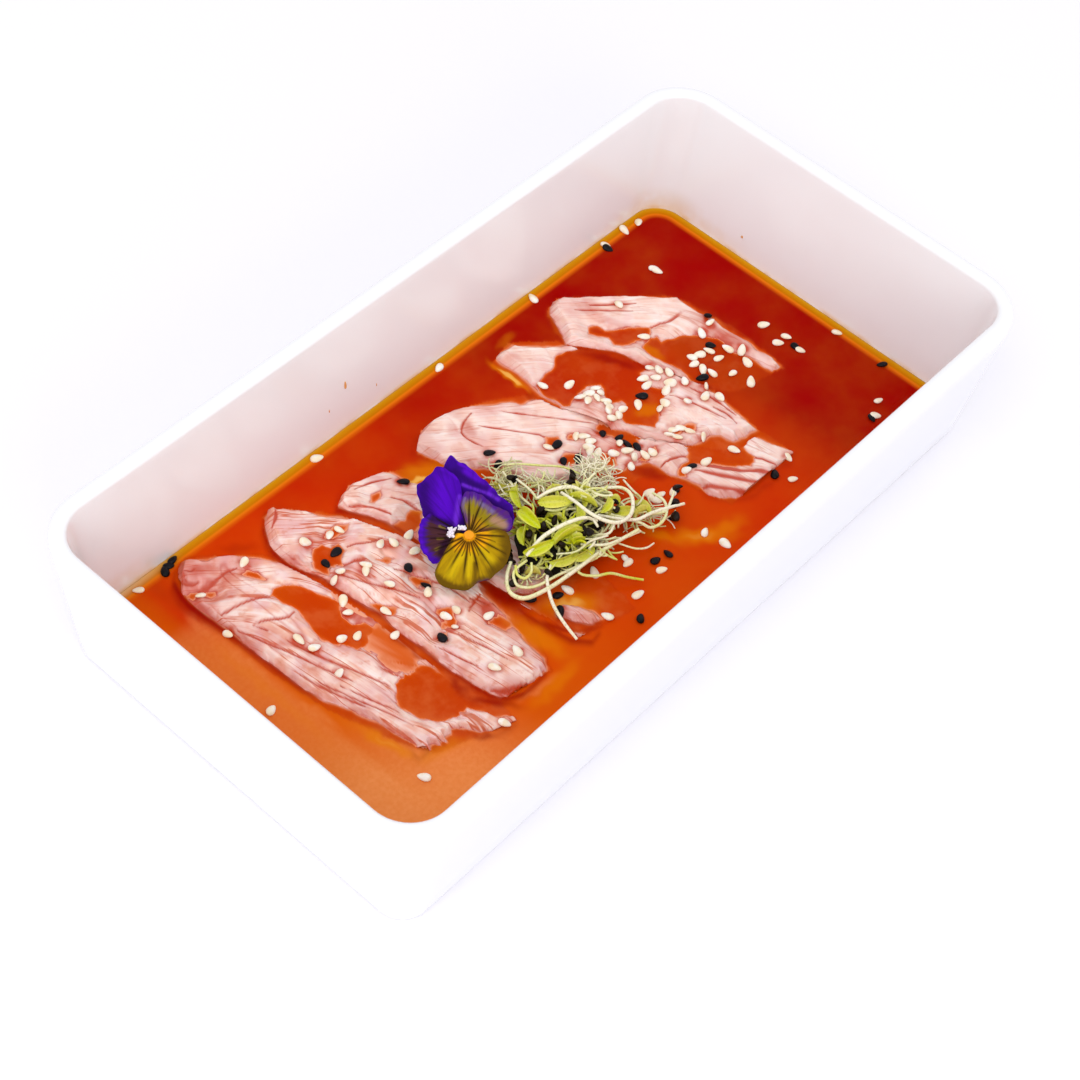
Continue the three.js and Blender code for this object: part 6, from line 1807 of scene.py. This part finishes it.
def build_stage(settings):
    floor_look, tree, shader = start_finish("pale_floor", Roughness=0.55)
    marks = use_group(tree, mottle_group(), Place=object_place(tree), Blotches=3.0, Grain=60.0)
    tree.links.new(blend_colours(tree, math_node(tree, "MULTIPLY", marks["Blotch"], 0.1),
                                 (*settings.floor, 1), colour(246, 244, 252)),
                   shader.inputs["Base Color"])
    reach = 4000
    corners = ((-reach, -reach, 0), (reach, -reach, 0), (reach, reach, 0), (-reach, reach, 0))
    floor = make_piece("floor", corners, [(0, 1, 2, 3)], floor_look)
    world = bpy.context.scene.world or bpy.data.worlds.new("studio")
    bpy.context.scene.world = world
    world.use_nodes = True
    sky = world.node_tree.nodes["Background"]
    sky.inputs["Color"].default_value = (0.97, 0.96, 1.0, 1.0)
    sky.inputs["Strength"].default_value = settings.daylight
    for name, place, aim, size, power in (
        ("key", (-0.9, -0.2, 1.3), (0, 0, 0), 0.9, 5.0),
        ("front", (-0.5, -1.1, 0.6), (0, 0, 0.02), 0.8, 3.5),
    ):
        lamp = bpy.data.lights.new(name, "AREA")
        lamp.energy = power
        lamp.size = size
        light = bpy.data.objects.new(name, lamp)
        bpy.context.scene.collection.objects.link(light)
        direction = Vector(aim) - Vector(place)
        light.matrix_world = Matrix.Translation(place) @ direction.to_track_quat("-Z", "Y").to_matrix().to_4x4()
    place_camera()
    bpy.context.scene.view_settings.view_transform = "Standard"


def place_camera():
    azimuth, elevation = math.radians(CAMERA["azimuth"]), math.radians(CAMERA["elevation"])
    forward = Vector((math.cos(azimuth) * math.cos(elevation), math.sin(azimuth) * math.cos(elevation),
                      -math.sin(elevation)))
    right = forward.cross(Vector((0, 0, 1))).normalized()
    right = Matrix.Rotation(math.radians(-CAMERA["roll"]), 3, forward) @ right
    up = right.cross(forward)
    turn = Matrix((right, up, -forward)).transposed().to_4x4()
    view = bpy.data.cameras.new("view")
    view.sensor_width = 36
    view.lens = CAMERA["lens"]
    view.clip_end = 20
    camera = bpy.data.objects.new("view", view)
    bpy.context.scene.collection.objects.link(camera)
    camera.matrix_world = Matrix.Translation(
        Vector(CAMERA["target"]) - forward * CAMERA["distance"]) @ turn
    bpy.context.scene.camera = camera


# Operators

class CARPACCIO_OT_stage(Operator):
    """Lay the floor and set the light and the camera"""
    bl_idname = "carpaccio.stage"
    bl_label = "Stage"

    def execute(self, context):
        build_stage(context.scene.carpaccio_stage)
        return {"FINISHED"}


class CARPACCIO_OT_dish(Operator):
    """Make the porcelain dish and the drops on its wall"""
    bl_idname = "carpaccio.dish"
    bl_label = "Dish"

    def execute(self, context):
        build_dish(context.scene.carpaccio_dish)
        build_wall_drops()
        return {"FINISHED"}


class CARPACCIO_OT_fish(Operator):
    """Make the shingled slices of fish"""
    bl_idname = "carpaccio.fish"
    bl_label = "Fish slices"

    def execute(self, context):
        settings = context.scene.carpaccio_fish
        finish = fish_finish(settings)
        for index in range(len(SLICES)):
            build_slice(index, settings, finish)
        return {"FINISHED"}


class CARPACCIO_OT_sauce(Operator):
    """Pour the sauce round and over the fish"""
    bl_idname = "carpaccio.sauce"
    bl_label = "Sauce"

    def execute(self, context):
        build_sauce(context.scene.carpaccio_sauce)
        return {"FINISHED"}


class CARPACCIO_OT_seeds(Operator):
    """Scatter white and black sesame seeds"""
    bl_idname = "carpaccio.seeds"
    bl_label = "Sesame seeds"

    def execute(self, context):
        build_seeds(context.scene.carpaccio_seeds)
        return {"FINISHED"}


class CARPACCIO_OT_sprouts(Operator):
    """Heap the sprouts with their leaves and hulls"""
    bl_idname = "carpaccio.sprouts"
    bl_label = "Sprouts"

    def execute(self, context):
        build_sprouts(context.scene.carpaccio_sprouts)
        return {"FINISHED"}


class CARPACCIO_OT_viola(Operator):
    """Make the viola's petals and its eye"""
    bl_idname = "carpaccio.viola"
    bl_label = "Viola"

    def execute(self, context):
        build_viola(context.scene.carpaccio_viola)
        return {"FINISHED"}


class CARPACCIO_PT_panel(Panel):
    """The dish's pieces and their settings"""
    bl_idname = "CARPACCIO_PT_panel"
    bl_label = "Carpaccio"
    bl_space_type = "VIEW_3D"
    bl_region_type = "UI"
    bl_category = "Carpaccio"

    def draw(self, context):
        for name, (_, operator) in STEPS.items():
            box = self.layout.box()
            box.operator(operator.bl_idname)
            settings = getattr(context.scene, f"carpaccio_{name}")
            for key in settings.__annotations__:
                box.prop(settings, key)


STEPS = {
    "stage": (StageSettings, CARPACCIO_OT_stage),
    "dish": (DishSettings, CARPACCIO_OT_dish),
    "fish": (FishSettings, CARPACCIO_OT_fish),
    "sauce": (SauceSettings, CARPACCIO_OT_sauce),
    "seeds": (SeedSettings, CARPACCIO_OT_seeds),
    "sprouts": (SproutSettings, CARPACCIO_OT_sprouts),
    "viola": (ViolaSettings, CARPACCIO_OT_viola),
}


def register():
    for name, (settings, operator) in STEPS.items():
        bpy.utils.register_class(settings)
        bpy.utils.register_class(operator)
        setattr(bpy.types.Scene, f"carpaccio_{name}", PointerProperty(type=settings))
    bpy.utils.register_class(CARPACCIO_PT_panel)


def unregister():
    bpy.utils.unregister_class(CARPACCIO_PT_panel)
    for name, (settings, operator) in reversed(STEPS.items()):
        delattr(bpy.types.Scene, f"carpaccio_{name}")
        bpy.utils.unregister_class(operator)
        bpy.utils.unregister_class(settings)


def main():
    register()
    for name in STEPS:
        getattr(bpy.ops.carpaccio, name)()


if __name__ == "__main__":
    main()
